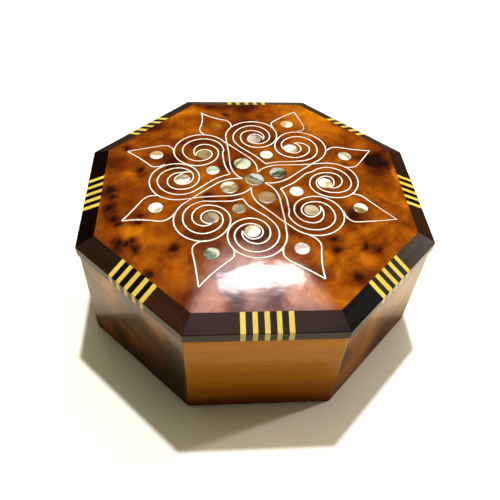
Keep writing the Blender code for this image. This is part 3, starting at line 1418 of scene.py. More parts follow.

# Most patches are the board's own tone. Those at (-11, -63) and (4, -63) are painted shade under the two
# dark reflections near the front. The long one at (-4, -70) darkens the front edge: partly the board's own
# tone, partly painted shade where the reflected haze fades.
LID_PATCHES_AND_PAINTED_SHADE = ovals(
    (-12, 65, 22, 11, -0.22), (3, 56, 12, 9, -0.10), (-6, 49, 11, 10, -0.26), (-29, 60, 13, 9, 0.36),
    (-15, 59, 11, 5, 0.34), (13, 67, 13, 8, 0.24), (-53, 48, 17, 9, -0.26), (-38, 47, 9, 8, -0.12),
    (-22, 42, 14, 8, 0.34), (-34, 37, 8, 8, 0.18), (-46, 34, 10, 8, -0.14), (-36, 25, 11, 14, -0.28),
    (-36, 17, 9, 9, -0.20), (-48, 21, 11, 9, -0.22), (-62, 16, 11, 11, -0.22), (-54, 2, 9, 7, -0.06),
    (-56, 11, 7, 4, 0.22), (-58, 2, 9, 7, -0.12), (-38, 9, 9, 6, 0.12), (-64, -8, 11, 20, -0.10),
    (-45, -20, 10, 9, 0.28), (-52, -26, 17, 6, 0.28), (-54, -34, 11, 8, -0.12), (-42, -31, 10, 7, 0.16),
    (-46, -43, 11, 7, -0.12), (-33, -46, 9, 9, 0.16), (-28, -61, 11, 9, -0.24), (30, 60, 28, 16, 0.40),
    (33, 48, 10, 8, 0.12), (22, 45, 12, 7, -0.10), (61, 36, 11, 12, -0.34), (52, 53, 14, 8, -0.34),
    (48, 44, 9, 7, 0.14), (49, 20, 8, 6, 0.18), (63, 27, 10, 8, -0.24), (57, 21, 15, 9, -0.64),
    (60, 14, 12, 10, -0.46), (60, 4, 14, 10, -0.12), (66, 11, 2.0, 12, 0.34), (43, 6, 8, 9, -0.26),
    (54, -5, 8, 8, 0.16), (43, -18, 9, 11, -0.34), (54, -30, 14, 10, 0.16), (61, -20, 13, 8, -0.22),
    (36, -50, 10, 7, -0.06), (43, -46, 11, 8, 0.30), (25, -42, 13, 12, 0.22), (14, -36, 10, 8, 0.32),
    (30, -51, 12, 7, 0.18), (30, -60, 16, 9, 0.36), (-11, -63, 8, 9, -0.36), (4, -63, 7, 8, -0.34),
    (-4, -70, 40, 8, -0.30), (-24, -33, 12, 12, -0.34), (-34, -3, 9, 6, -0.14), (-15, -25, 8, 7, 0.22),
    (-19, -9, 18, 10, -0.26), (-24, 7, 9, 8, 0.26), (-14, 12, 7, 6, -0.18), (-14, 6, 8, 8, -0.10),
    (-21, 18, 8, 8, -0.18), (-8, 20, 13, 13, -0.30), (-6, 14, 12, 8, -0.36), (-6, 36, 8, 7, 0.14),
    (13, 36, 12, 11, -0.20), (25, 32, 9, 13, 0.14), (18, 12, 14, 10, 0.20), (14, -5, 10, 6, 0.14),
    (14, -17, 15, 11, -0.36), (31, -5, 8, 7, -0.16), (23, -9, 7, 6, 0.16), (-3, -29, 14, 14, -0.24),
)


@dataclass
class LidPanel:
    """The crowned burl panel, with a step under it that drops inside the walls."""

    crown: Crown
    rings: int = 56
    per_side: int = 16
    underside: float = 0.0503
    step_half_width: float = 0.0655
    step_depth: float = 0.0020

    def build(self) -> bpy.types.Object:
        """Make the panel in place of its node.

        Returns:
            The panel.
        """
        made = Draft()
        crown = self.crown
        middle = made.row([crown.lifted(0.0, 0.0)])[0]
        before: list[int] = []
        for ring in range(1, self.rings + 1):
            level = octagon(crown.half_width * ring / self.rings, 0.0, self.per_side)
            here = made.row([(x, y, crown.height(x, y)) for x, y, _ in level])
            if before:
                made.bridge(before, here)
            else:
                made.fan(middle, here)
            before = here
        low = self.underside - self.step_depth
        edges = (
            (crown.half_width, self.underside),
            (self.step_half_width, self.underside),
            (self.step_half_width, low),
        )
        for half_width, height in edges:
            here = made.row(octagon(half_width, height, self.per_side))
            made.bridge(before, here)
            before = here
        foot = made.row([(0.0, 0.0, low)])[0]
        made.fan(foot, before)
        look = {"gloss": 0.06, "ripple": 0.00006, "wild_eyes": 0.0, "streaks": 0.24}
        finish = Burl("burl_lid", eyes=LID_EYES, patches=LID_PATCHES_AND_PAINTED_SHADE, **look)
        panel = made.piece("crowned_panel", [finish])
        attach(panel, "root")
        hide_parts("lid_panel")
        return panel


# The tones of a side's dark lengths a and b: partly the rim's own tone and partly painted light and shade,
# each side lighter or darker by how it is lit, and the front right painted greyer as a sheen. On the other
# sides they have the rim's own tone.
DARK_TONES_WITH_PAINTED_LIGHT = {
    Side.FRONT: ((0.021, 0.0068, 0.0040), (0.021, 0.0068, 0.0040)),
    Side.FRONT_LEFT: ((0.044, 0.0175, 0.0090), (0.029, 0.0165, 0.0110)),
    Side.FRONT_RIGHT: ((0.054, 0.0370, 0.0280), (0.014, 0.0140, 0.0140)),
    Side.LEFT: ((0.007, 0.0025, 0.0018), (0.007, 0.0025, 0.0018)),
    Side.RIGHT: ((0.034, 0.0160, 0.0090), (0.034, 0.0160, 0.0090)),
}

# The black laminations of the front right block are painted greyer than the others, a painted sheen.
PAINTED_SHEEN_BLACK_TONES = {Side.FRONT_RIGHT: (0.030, 0.027, 0.023)}


@dataclass
class LidRim:
    """The bevelled rim: on each side a striped block between two dark lengths, mitred at the corners."""

    outside: float = 0.0750
    inside: float = 0.06735
    underside: float = 0.0503
    rim_top: float = 0.0548
    panel_edge: float = 0.0581
    corner_easing: float = 0.0012
    arris: float = 0.0005
    block_half_length: float = 0.0100
    light_count: int = 5
    light_width: float = 0.0020
    dark_width: float = 0.0025
    hand_drift: float = 0.00012
    dark_tone: Colour = (0.0150, 0.0045, 0.0022)
    black_tone: Colour = (0.0070, 0.0050, 0.0050)
    dark_depth: float = 0.35
    black_depth: float = 0.55
    underside_easing: float = 0.0003
    first_seed: int = 700

    def section(self) -> list[Place]:
        """Draw the rim's section: upright outside, with a bevel that rises to the panel.

        Returns:
            The section's points as (out, up).
        """
        corners = (
            Corner(self.inside, self.underside),
            Corner(self.outside, self.underside, self.underside_easing),
            Corner(self.outside, self.rim_top, self.arris),
            Corner(self.inside, self.panel_edge),
        )
        return eased_section(corners)

    def board(self, left: float | None, right: float | None, joints: Sequence[float] = ()) -> Board:
        """A board of the rim from its left end to its right end."""
        shape = (self.section(), self.inside, self.outside, self.corner_easing)
        return Board(*shape, left, right, tuple(joints))

    def joints(self, side: Side) -> list[float]:
        """Find where the laminations of a block meet, with the small drift of handwork.

        Args:
            side: The block's side.

        Returns:
            Places along the side, with the block's ends.
        """
        drift = random.Random(self.first_seed + side.value)
        found = [-self.block_half_length]
        for number in range(2 * self.light_count - 1):
            width = self.dark_width if number % 2 else self.light_width
            found.append(found[-1] + width)
        inner = [place + drift.uniform(-self.hand_drift, self.hand_drift) for place in found[1:-1]]
        return [found[0], *inner, self.block_half_length]

    def dark_length(self, side: Side, hand: Hand) -> bpy.types.Object:
        """Make one dark length, from the mitre to the block.

        Args:
            side: Its side.
            hand: Its hand of the side.

        Returns:
            The piece.
        """
        anticlockwise = hand is Hand.ANTICLOCKWISE
        ends = (None, -self.block_half_length) if anticlockwise else (self.block_half_length, None)
        board = self.board(*ends)
        first, second = DARK_TONES_WITH_PAINTED_LIGHT.get(side, (self.dark_tone, self.dark_tone))
        tone = first if anticlockwise else second
        finish = StraightWood(
            f"dark_wood_{side.label}_{hand.letter}",
            shift=(0.23 * side.value, 0.11, 0.07 if anticlockwise else 0.0),
            shine=0.25,
            pale=tone,
            deep=tuple(channel * self.dark_depth for channel in tone),
            pore=(0.002, 0.0010, 0.0008),
        )
        piece = board.draft().piece(f"dark_rim_{side.label}_{hand.letter}", [finish], flat_sided=True)
        return self.settle(piece, side, f"border_{side.label}_{hand.letter}")

    def striped_block(self, side: Side) -> bpy.types.Object:
        """Make a side's block of light and dark laminations.

        Args:
            side: Its side.

        Returns:
            The piece.
        """
        joints = self.joints(side)
        board = self.board(joints[0], joints[-1], joints[1:-1])
        quarter = (0.0, 0.0, math.pi / 2)
        light = StraightWood(
            "yellow_wood",
            pale=(0.77, 0.64, 0.115),
            deep=(0.58, 0.40, 0.050),
            pore=(0.30, 0.15, 0.01),
            turn=quarter,
        )
        tone = PAINTED_SHEEN_BLACK_TONES.get(side, self.black_tone)
        black = StraightWood(
            f"black_wood_{side.label}",
            shine=0.25,
            pale=tone,
            deep=tuple(channel * self.black_depth for channel in tone),
            pore=(0.001, 0.001, 0.001),
            turn=quarter,
        )
        draft = board.draft(lambda stretch: stretch % 2)
        piece = draft.piece(f"striped_block_{side.label}", [light, black], flat_sided=True)
        return self.settle(piece, side, f"stripes_{side.label}")

    @staticmethod
    def settle(piece: bpy.types.Object, side: Side, node: str) -> bpy.types.Object:
        """Turn a piece to its side and let it stand for its node.

        Args:
            piece: The piece.
            side: Its side.
            node: The node.

        Returns:
            The piece.
        """
        piece.rotation_euler = (0.0, 0.0, side.turn)
        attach(piece, "root")
        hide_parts(node)
        return piece

    def build(self) -> list[bpy.types.Object]:
        """Make the whole rim.

        Returns:
            Its pieces.
        """
        pieces = []
        for side in Side:
            pieces.append(self.dark_length(side, Hand.ANTICLOCKWISE))
            pieces.append(self.striped_block(side))
            pieces.append(self.dark_length(side, Hand.CLOCKWISE))
        return pieces


@dataclass(frozen=True)
class Rosette:
    """The drawing that the inlay follows: four hearts round a middle disc, each with two spirals."""

    first_heart: float = math.radians(67.5)
    first_leaf: float = math.radians(22.5)
    quarter: float = math.pi / 2
    middle: Place = field(default_factory=lambda: middle_of("pearl_centre"))

    def placed(self, out: float, across: float, turn: float) -> Place:
        """Find a place by how far out and how far anticlockwise of a turn it is.

        Args:
            out: How far out along the turn.
            across: How far anticlockwise of it.
            turn: The turn, in radians.

        Returns:
            The place.
        """
        x = self.middle[0] + out * math.cos(turn) - across * math.sin(turn)
        y = self.middle[1] + out * math.sin(turn) + across * math.cos(turn)
        return x, y


# The shell of each disc: the bright field and the shaded one, partly its own colour and partly painted
# sheen, the lie in degrees, where the two meet in radii from the middle, and the line between them with its
# weight.
DISC_TINTS = {
    "centre": Tint((0.54, 0.62, 0.60), (0.20, 0.16, 0.06), 52, 0.28, (0.035, 0.040, 0.018), 1.0),
    "petal_1": Tint((0.40, 0.52, 0.44), (0.050, 0.040, 0.018), 118, 0.20, (0.020, 0.022, 0.012), 0.8),
    "petal_2": Tint((0.62, 0.70, 0.54), (0.40, 0.42, 0.26), -35, -0.35, (0.08, 0.09, 0.06), 0.9),
    "petal_3": Tint((0.80, 0.76, 0.70), (0.25, 0.20, 0.07), 112, 0.45, (0.26, 0.18, 0.10), 0.5),
    "petal_4": Tint((0.33, 0.21, 0.11), (0.25, 0.15, 0.07), 130, -0.30),
    "heart_1": Tint((0.90, 0.90, 0.86), (0.62, 0.56, 0.28), 130, -0.75),
    "heart_2": Tint((0.90, 0.92, 0.90), (0.44, 0.56, 0.40), -75, -0.05, (0.20, 0.32, 0.20), 0.9),
    "heart_3": Tint((0.42, 0.34, 0.18), (0.20, 0.185, 0.11), 160, 0.45),
    "heart_4": Tint((0.92, 0.92, 0.90), (0.74, 0.70, 0.48), 50, -0.80),
    "spiral_1": Tint((0.84, 0.90, 0.84), (0.44, 0.40, 0.20), 130, -0.50, (0.40, 0.48, 0.28), 0.4),
    "spiral_2": Tint((0.60, 0.50, 0.45), (0.32, 0.25, 0.21), 170, -0.20, (0.26, 0.19, 0.16), 0.5),
    "spiral_3": Tint((0.34, 0.26, 0.11), (0.21, 0.145, 0.050), 150, -0.35),
    "spiral_4": Tint((0.90, 0.80, 0.78), (0.28, 0.21, 0.15), -70, 0.10, (0.30, 0.22, 0.17), 0.5),
    "spiral_5": Tint((0.40, 0.32, 0.23), (0.17, 0.12, 0.06), 20, 0.0, (0.12, 0.10, 0.05), 0.4),
    "spiral_6": Tint((0.88, 0.88, 0.80), (0.46, 0.44, 0.24), -40, -0.35, (0.38, 0.34, 0.18), 0.6),
    "spiral_7": Tint((0.50, 0.44, 0.30), (0.34, 0.28, 0.16), 80, -0.20, (0.30, 0.24, 0.12), 0.5),
    "spiral_8": Tint((0.92, 0.90, 0.88), (0.60, 0.48, 0.28), 145, -0.25, (0.46, 0.32, 0.14), 0.7),
    "leaf_1": Tint((0.90, 0.90, 0.84), (0.58, 0.50, 0.36), 215, -0.05, (0.14, 0.10, 0.04), 0.8),
    "leaf_2": Tint((0.84, 0.78, 0.54), (0.56, 0.40, 0.18), -20, -0.10, (0.46, 0.28, 0.10), 0.3),
    "leaf_3": Tint((0.30, 0.125, 0.005), (0.22, 0.080, 0.003), 60, 0.0),
    "leaf_4": Tint((0.92, 0.90, 0.88), (0.52, 0.34, 0.21), -85, 0.15, (0.50, 0.30, 0.18), 0.4),
    "leaf_5": Tint((0.92, 0.92, 0.88), (0.46, 0.48, 0.25), 125, -0.30, (0.24, 0.27, 0.12), 0.6),
    "leaf_6": Tint((0.56, 0.58, 0.50), (0.08, 0.13, 0.06), 60, 0.20, (0.07, 0.18, 0.10), 0.7),
    "leaf_7": Tint((0.90, 0.88, 0.88), (0.48, 0.40, 0.38), -60, -0.10, (0.42, 0.34, 0.32), 0.6),
    "leaf_8": Tint((0.92, 0.94, 0.90), (0.20, 0.155, 0.03), 70, 0.0, (0.16, 0.13, 0.03), 0.8),
}


@dataclass
class PearlInlay:
    """The twenty-five discs of mother of pearl."""

    crown: Crown
    thickness: float = 0.0012
    proud: float = 0.00004
    easing: float = 0.00012
    glue_width: float = 0.00013
    glue_gap: float = 0.000005
    glue_inner_rise: float = 0.000015
    glue_outer_rise: float = 0.000012
    glue_depth: float = 0.0003
    segments: int = 40

    def ring(self, made: Draft, foot: Vector, up: Vector, reach: float, lift: float) -> list[int]:
        """One ring of a disc's points.

        Args:
            made: The draft to add it to.
            foot: The disc's middle on the crown.
            up: The crown's normal there.
            reach: The ring's radius.
            lift: How far over the crown it lies.

        Returns:
            The numbers of its points.
        """
        across = up.orthogonal().normalized()
        ahead = up.cross(across)
        points = []
        for index in range(self.segments):
            turn = 2 * math.pi * index / self.segments
            spoke = across * math.cos(turn) + ahead * math.sin(turn)
            points.append(foot + spoke * reach + up * lift)
        return made.row(points)

    def disc(self, name: str, place: Place, diameter: float, shell: Finish) -> bpy.types.Object:
        """Make one disc, set square to the crown, with the glue line round it.

        Args:
            name: The piece's name.
            place: The disc's middle.
            diameter: How wide it is.
            shell: Its finish.

        Returns:
            The disc.
        """
        made = Draft()
        up = self.crown.normal(*place)
        foot = self.crown.lifted(*place)
        radius = diameter / 2
        bend = self.easing * 0.3
        profile = (
            (radius * 0.3, self.proud),
            (radius * 0.65, self.proud),
            (radius - self.easing, self.proud),
            (radius - bend, self.proud - bend),
            (radius, self.proud - self.easing),
            (radius, -self.thickness),
        )
        top = made.row([foot + up * self.proud])[0]
        rows = [self.ring(made, foot, up, reach, lift) for reach, lift in profile]
        made.fan(top, rows[0])
        for first, second in zip(rows, rows[1:]):
            made.bridge(first, second)
        bottom = made.row([foot - up * self.thickness])[0]
        made.fan(bottom, rows[-1])
        glue = (
            (radius + self.glue_gap, -self.glue_depth),
            (radius + self.glue_gap, self.glue_inner_rise),
            (radius + self.glue_width, self.glue_outer_rise),
            (radius + self.glue_width, -self.glue_depth),
        )
        lines = [self.ring(made, foot, up, reach, lift) for reach, lift in glue]
        for first, second in zip(lines, lines[1:] + lines[:1]):
            made.bridge(first, second, finish=1)
        return made.piece(name, [shell, GlueLine("glue_line")])

    def build(self) -> list[bpy.types.Object]:
        """Make the discs, each in place of its node and as wide as it.

        Returns:
            The discs.
        """
        pieces = []
        for label, tint in DISC_TINTS.items():
            node = f"pearl_{label}"
            low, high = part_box(node)
            middle = middle_of(node)
            diameter = high[0] - low[0]
            shell = Shell(f"shell_{label}", tint=tint, middle=middle, radius=diameter / 2)
            piece = self.disc(f"shell_disc_{label}", middle, diameter, shell)
            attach(piece, "root")
            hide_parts(node)
            pieces.append(piece)
        return pieces


@dataclass(frozen=True)
class Spiral:
    """A hand-bent spiral of two strands round one disc, in millimetres and degrees.

    The reaches are a strand's distances from the disc's middle, a sixth of a turn apart. Both strands
    end at the tip, and the sag is how far the inner one's way in hangs towards the heart's middle line.
    """

    outer: tuple[float, ...]
    inner: tuple[float, ...]
    tip_turn: float
    tip_reach: float
    sag: float = 0.0


SPIRALS = (
    Spiral(
        (14.6, 17.5, 14.8, 8.9, 7.1, 6.8, 7.9, 9.2),
        (10.2, 12.8, 12.4, 7.3, 3.9, 2.7, 3.7, 5.0),
        tip_turn=495, tip_reach=5.3, sag=-0.9,
    ),
    Spiral(
        (13.6, 15.3, 15.0, 10.8, 7.7, 6.5, 6.5, 7.7, 6.7),
        (9.6, 10.8, 11.7, 8.7, 5.5, 3.6, 3.3, 3.2, 4.3, 4.2),
        tip_turn=570, tip_reach=4.3,
    ),
    Spiral(
        (13.6, 16.4, 14.9, 10.7, 7.4, 6.4, 7.3, 7.9, 5.1),
        (9.5, 12.3, 12.2, 8.2, 4.8, 3.6, 3.6, 3.8, 3.8),
        tip_turn=535, tip_reach=4.0,
    ),
    Spiral(
        (13.5, 14.9, 14.1, 10.6, 8.0, 7.1, 7.0, 7.3, 5.9, 4.6),
        (9.9, 10.8, 11.2, 8.7, 6.2, 4.5, 3.8, 3.7, 3.6, 3.2),
        tip_turn=603, tip_reach=5.8, sag=-0.3,
    ),
    Spiral(
        (14.6, 15.8, 13.5, 9.3, 7.7, 7.4, 8.4, 7.7),
        (10.8, 12.1, 10.6, 6.9, 4.9, 4.5, 4.5, 4.5, 3.7),
        tip_turn=526, tip_reach=3.0, sag=1.2,
    ),
    Spiral(
        (14.0, 14.9, 13.1, 10.2, 7.9, 7.2, 7.3, 7.5, 5.8),
        (10.3, 11.4, 11.1, 8.4, 5.5, 4.2, 4.1, 4.4, 4.3, 3.7),
        tip_turn=570, tip_reach=4.1, sag=2.4,
    ),
    Spiral(
        (13.7, 14.8, 14.3, 10.8, 8.0, 7.5, 7.6, 7.3, 5.3),
        (10.7, 11.4, 11.3, 8.5, 5.4, 4.3, 4.4, 4.1, 3.5),
        tip_turn=558, tip_reach=4.8,
    ),
    Spiral(
        (14.1, 16.7, 13.4, 9.2, 7.7, 6.7, 7.1, 9.0, 5.8),
        (9.3, 12.3, 12.0, 7.1, 4.9, 4.0, 4.0, 5.3, 4.0),
        tip_turn=538, tip_reach=3.4, sag=1.0,
    ),
)


@dataclass(frozen=True)
class LeafSide:
    """One side of a leaf, in millimetres (out, across).

    The hollow is how far the side is hollowed halfway from the tip to its neck, where the bend of the
    shoulder starts. The waist lies between shoulder and foot, by a share of each.
    """

    shoulder: Place
    foot: Place
    hollow: float = 0.0
    neck: Place = (2.6, 0.9)
    waist_shares: Place = (0.55, 0.28)
    stops: tuple[float, ...] = (0.3, 0.62, 0.88)

    def route(self, tip: Place) -> list[Place]:
        """Find the side's points, from the tip round the shoulder to its foot on the spiral.

        Args:
            tip: The leaf's tip.

        Returns:
            Places as (out, across).
        """
        way = math.copysign(1.0, self.shoulder[1])
        high = (self.shoulder[0] + self.neck[0], self.shoulder[1] - way * self.neck[1])
        points = [tip]
        for share in self.stops:
            out = tip[0] + (high[0] - tip[0]) * share
            across = tip[1] + (high[1] - tip[1]) * share
            points.append((out, across - way * self.hollow * 4 * share * (1 - share)))
        shoulder, foot, shares = self.shoulder, self.foot, self.waist_shares
        waist = tuple(shoulder[axis] * (1 - shares[axis]) + foot[axis] * shares[axis] for axis in (0, 1))
        return [*points, high, shoulder, waist, foot]


@dataclass(frozen=True)
class Leaf:
    """A leaf between two spirals: its tip, and its sides anticlockwise and clockwise of it."""

    tip: Place
    left: LeafSide
    right: LeafSide


LEAVES = (
    Leaf((62.6, -0.3), LeafSide((46.6, 8.1), (42.6, 6.9), 0.5), LeafSide((48.4, -8.6), (43.5, -7.1))),
    Leaf((61.4, -1.1), LeafSide((46.8, 6.6), (42.6, 4.4), -0.3), LeafSide((48.3, -9.9), (44.3, -7.6), -0.2)),
    Leaf((60.0, 0.7), LeafSide((44.5, 7.8), (40.4, 6.6), 0.9), LeafSide((45.9, -8.7), (41.6, -7.6), 1.3)),
    Leaf((62.8, 1.0), LeafSide((46.5, 7.5), (41.8, 4.3), 0.3), LeafSide((46.8, -9.3), (41.1, -4.3), -0.2)),
    Leaf((61.5, 0.3), LeafSide((45.6, 7.8), (40.2, 5.8), 0.8), LeafSide((47.0, -9.0), (42.6, -7.7), 0.2)),
    Leaf((64.6, -0.1), LeafSide((46.0, 7.1), (42.2, 5.6), 0.6), LeafSide((47.0, -9.9), (42.2, -6.4), 0.2)),
    Leaf((61.6, 0.4), LeafSide((44.8, 8.0), (39.4, 5.8), 0.6), LeafSide((45.8, -8.9), (41.5, -7.3), 0.2)),
    Leaf((64.7, 0.7), LeafSide((46.8, 9.0), (42.9, 8.3), 0.2), LeafSide((47.4, -8.6), (42.0, -4.2), -0.2)),
)


def eased_value(knots: Sequence[Place], at: float) -> float:
    """Read a value off a smooth line.

    Args:
        knots: The line's knots as (position, value), in order of position.
        at: The position to read.

    Returns:
        The value there.
    """
    last = len(knots) - 1
    index = max(number for number in range(last) if number == 0 or knots[number][0] <= at)
    slopes = []
    for knot in (index, index + 1):
        before, after = knots[max(knot - 1, 0)], knots[min(knot + 1, last)]
        slopes.append((after[1] - before[1]) / (after[0] - before[0]))
    width = knots[index + 1][0] - knots[index][0]
    share = (at - knots[index][0]) / width
    rest = 1 - share
    first, second = knots[index][1], knots[index + 1][1]
    rise = (3 - 2 * share) * share * share
    swing = share * rest * (rest * slopes[0] - share * slopes[1])
    return first + (second - first) * rise + width * swing


def evenly(points: Sequence[Vector], spacing: float) -> list[Place]:
    """Step along a line evenly.

    Args:
        points: The line's points, closer together than the steps.
        spacing: How long a step is.

    Returns:
        The line's ends, and a place at each step.
    """
    found = [points[0]]
    carried = 0.0
    for first, second in zip(points, points[1:]):
        length = (second - first).length
        while carried + length >= spacing and length > 0:
            first = first + (second - first) * ((spacing - carried) / length)
            found.append(first)
            length = (second - first).length
            carried = 0.0
        carried += length
    found.append(points[-1])
    return [(point.x, point.y) for point in found]


def flowing(points: Sequence[Place], spacing: float, steps: int = 8) -> list[Place]:
    """A smooth line through points, stepped evenly.

    Args:
        points: The points that it passes.
        spacing: How far apart its own points are.
        steps: How many short lines make the curve between two of the points.

    Returns:
        The line's points.
    """
    dense: list[Vector] = []
    knots = [Vector(point) for point in points]
    for index in range(len(knots) - 1):
        here, after = knots[index], knots[index + 1]
        before = knots[index - 1] if index else here * 2 - after
        later = knots[index + 2] if index + 2 < len(knots) else after * 2 - here
        for step in range(steps):
            share = step / steps
            straight = (after - before) * share
            bent = (2 * before - 5 * here + 4 * after - later) * share**2
            twisted = (3 * here - before - 3 * after + later) * share**3
            dense.append(0.5 * (2 * here + straight + bent + twisted))
    dense.append(knots[-1])
    return evenly(dense, spacing)


@dataclass
class WireInlay:
    """The wires of the rosette: eight spirals in four hearts, and a leaf between each two spirals.

    A lead is the way from a heart's cusp to a spiral, in millimetres, and its fades are how much of the
    cusp's own drift each point takes. Starts and turns are in degrees.
    """

    crown: Crown
    rosette: Rosette
    width: float = 0.00062
    proud: float = 0.00007
    depth: float = 0.00025
    glue_width: float = 0.00022
    spacing: float = 0.00045
    spiral_start: float = 140.0
    outer_start: float = 25.0
    turn_step: float = 12.0
    knot_turn: float = 60.0
    flank: float = 0.35
    brow: Place = (0.66, 0.86)
    glue_rise: float = 0.000014
    outer_lead: tuple[Place, ...] = (
        (0.0, 5.4), (1.2, 8.4), (3.2, 11.2), (6.4, 13.8), (10.4, 15.8), (14.4, 17.7), (18.7, 19.9)
    )
    outer_fades: tuple[float, ...] = (1.0, 1.0, 0.8, 0.5, 0.15, 0.0, 0.0)
    inner_lead: tuple[Place, ...] = ((12.8, 0.0), (14.8, 2.7), (16.9, 5.9), (18.9, 10.2), (20.4, 13.6))
    inner_fades: tuple[float, ...] = (1.0, 0.5, 0.2, 0.0, 0.0)
    sag_shares: tuple[float, ...] = (0.0, 0.5, 1.0, 0.9, 0.5)
    outer_cusps: tuple[Place, ...] = ((5.5, 0.4), (5.2, 1.35), (5.8, 0.55), (5.2, -0.25))
    inner_cusps: tuple[Place, ...] = ((12.9, -1.2), (11.5, 0.4), (13.9, -0.7), (12.9, -1.4))

    def section(self) -> tuple[Place, ...]:
        """Draw the wire's section.

        Returns:
            Its points as (across, up).
        """
        half = self.width / 2
        flank = self.proud * self.flank
        brow, brow_rise = half * self.brow[0], self.proud * self.brow[1]
        return (
            (-half, -self.depth),
            (-half, flank),
            (-brow, brow_rise),
            (0.0, self.proud),
            (brow, brow_rise),
            (half, flank),
            (half, -self.depth),
        )

    def lay(self, made: Draft, line: Sequence[Place], section: Sequence[Place], finish: int) -> None:
        """Lay one strand along a line on the crown.

        Args:
            made: The draft to add it to.
            line: The places that it passes, in metres.
            section: Its closed section as (across, up).
            finish: The number of its finish.
        """
        rings = []
        last = len(line) - 1
        for index, (x, y) in enumerate(line):
            before = line[max(0, index - 1)]
            after = line[min(last, index + 1)]
            ahead = Vector((after[0] - before[0], after[1] - before[1], 0.0)).normalized()
            up = self.crown.normal(x, y)
            across = ahead.cross(up).normalized()
            foot = Vector((x, y, self.crown.height(x, y)))
            rings.append(made.row([foot + across * far + up * lift for far, lift in section]))
        for first, second in zip(rings, rings[1:]):
            made.bridge(first, second, finish)
        made.face(rings[0][::-1], finish)
        made.face(rings[-1], finish)

    def strand(self, name: str, lines: Sequence[Sequence[Place]]) -> bpy.types.Object:
        """Make a wire piece of one or more strands, with the glue line beside each.

        Args:
            name: The piece's name.
            lines: The places that each strand passes.

        Returns:
            The piece.
        """
        made = Draft()
        half = self.width / 2 + self.glue_width
        rise = self.glue_rise
        glue = ((-half, -self.depth), (-half, rise), (half, rise), (half, -self.depth))
        for line in lines:
            self.lay(made, line, self.section(), 0)
            self.lay(made, line, glue, 1)
        piece = made.piece(name, [Wire("white_wire"), GlueLine("glue_line")], crisp=60.0)
        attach(piece, "root")
        return piece

    def to_crown(self, out: float, across: float, turn: float) -> Place:
        """A place in metres from one in millimetres along a turn."""
        return self.rosette.placed(out * MILLIMETRE, across * MILLIMETRE, turn)

    def way_in(
        self, lead: Sequence[Place], cusp: Place, fades: Sequence[float], turn: float, hand: Hand
    ) -> list[Place]:
        """Find a strand's way from its cusp to its first turn.

        Args:
            lead: The way that all such strands share, in a heart's directions.
            cusp: Where this one starts.
            fades: How much of the cusp's drift each point of the lead takes.
            turn: The heart's turn.
            hand: The spiral's hand of the heart.

        Returns:
            Places on the crown.
        """
        out_drift, across_drift = cusp[0] - lead[0][0], cusp[1] - lead[0][1]
        return [
            self.to_crown(out + out_drift * fade, (across + across_drift * fade) * hand.value, turn)
            for (out, across), fade in zip(lead, fades)
        ]

    def winding(
        self, number: int, reaches: Sequence[float], start: float, turn: float, hand: Hand
    ) -> list[Place]:
        """Find a strand's turns round its disc, out to in.

        Args:
            number: The spiral's number.
            reaches: Its distances from the disc's middle, a sixth of a turn apart.
            start: Where it starts, in degrees of turning after the point where spirals start.
            turn: The heart's turn.
            hand: The spiral's hand of the heart.

        Returns:
            Places on the crown, the last one the tip.
        """
        spiral = SPIRALS[number - 1]
        middle = middle_of(f"pearl_spiral_{number}")
        knots = [(start + self.knot_turn * index, reach) for index, reach in enumerate(reaches)]
        knots.append((float(spiral.tip_turn), spiral.tip_reach))
        steps = round((spiral.tip_turn - start) / self.turn_step)
        places = []
        for step in range(steps + 1):
            turned = start + (spiral.tip_turn - start) * step / steps
            reach = eased_value(knots, turned) * MILLIMETRE
            angle = turn + hand.value * math.radians(self.spiral_start - turned)
            places.append((middle[0] + reach * math.cos(angle), middle[1] + reach * math.sin(angle)))
        return places

    def strands(self, number: int) -> list[list[Place]]:
        """Draw the outer and the inner strand of a spiral.

        Args:
            number: The spiral's number.

        Returns:
            The two strands' places, from cusp to tip.
        """
        spiral = SPIRALS[number - 1]
        heart = (number - 1) // 2
        hand = Hand.ANTICLOCKWISE if number % 2 == 0 else Hand.CLOCKWISE
        turn = self.rosette.first_heart + heart * self.rosette.quarter
        neighbour = self.outer_cusps[(heart + hand.value) % len(self.outer_cusps)]
        outer_cusp = (-hand.value * neighbour[1], neighbour[0])
        own = self.inner_cusps[heart]
        inner_cusp = (own[0], own[1] * hand.value)
        led = zip(self.inner_lead, self.sag_shares)
        sagged = [(out, across - spiral.sag * share) for (out, across), share in led]
        outer = self.way_in(self.outer_lead, outer_cusp, self.outer_fades, turn, hand)
        inner = self.way_in(sagged, inner_cusp, self.inner_fades, turn, hand)
        outer += self.winding(number, spiral.outer, self.outer_start, turn, hand)
        inner += self.winding(number, spiral.inner, 0.0, turn, hand)
        return [outer, inner]

    def spirals(self) -> list[bpy.types.Object]:
        """Make the eight spiral wires.

        Returns:
            The pieces.
        """
        pieces = []
        for number in range(1, len(SPIRALS) + 1):
            lines = [flowing(line, self.spacing) for line in self.strands(number)]
            pieces.append(self.strand(f"spiral_wire_{number}", lines))
        return pieces

    def leaves(self) -> list[bpy.types.Object]:
        """Make the eight leaf wires, each of two sides that meet at the tip.

        Returns:
            The pieces.
        """
        pieces = []
        for number, leaf in enumerate(LEAVES, start=1):
            turn = self.rosette.first_leaf + (number - 1) * SIDE_TURN
            lines = []
            for side in (leaf.left, leaf.right):
                route = [self.to_crown(out, across, turn) for out, across in side.route(leaf.tip)]
                lines.append(flowing(route, self.spacing))
            pieces.append(self.strand(f"leaf_wire_{number}", lines))
        return pieces

    def build(self) -> list[bpy.types.Object]:
        """Make every wire."""
        return self.spirals() + self.leaves()


# ---- The studio ----


@dataclass(frozen=True)
class Glow:
    """A soft patch of brightness in the room: its direction, half-angle in degrees, colour and strength."""

    direction: Point
    half_angle: float
    colour: Colour
    strength: float


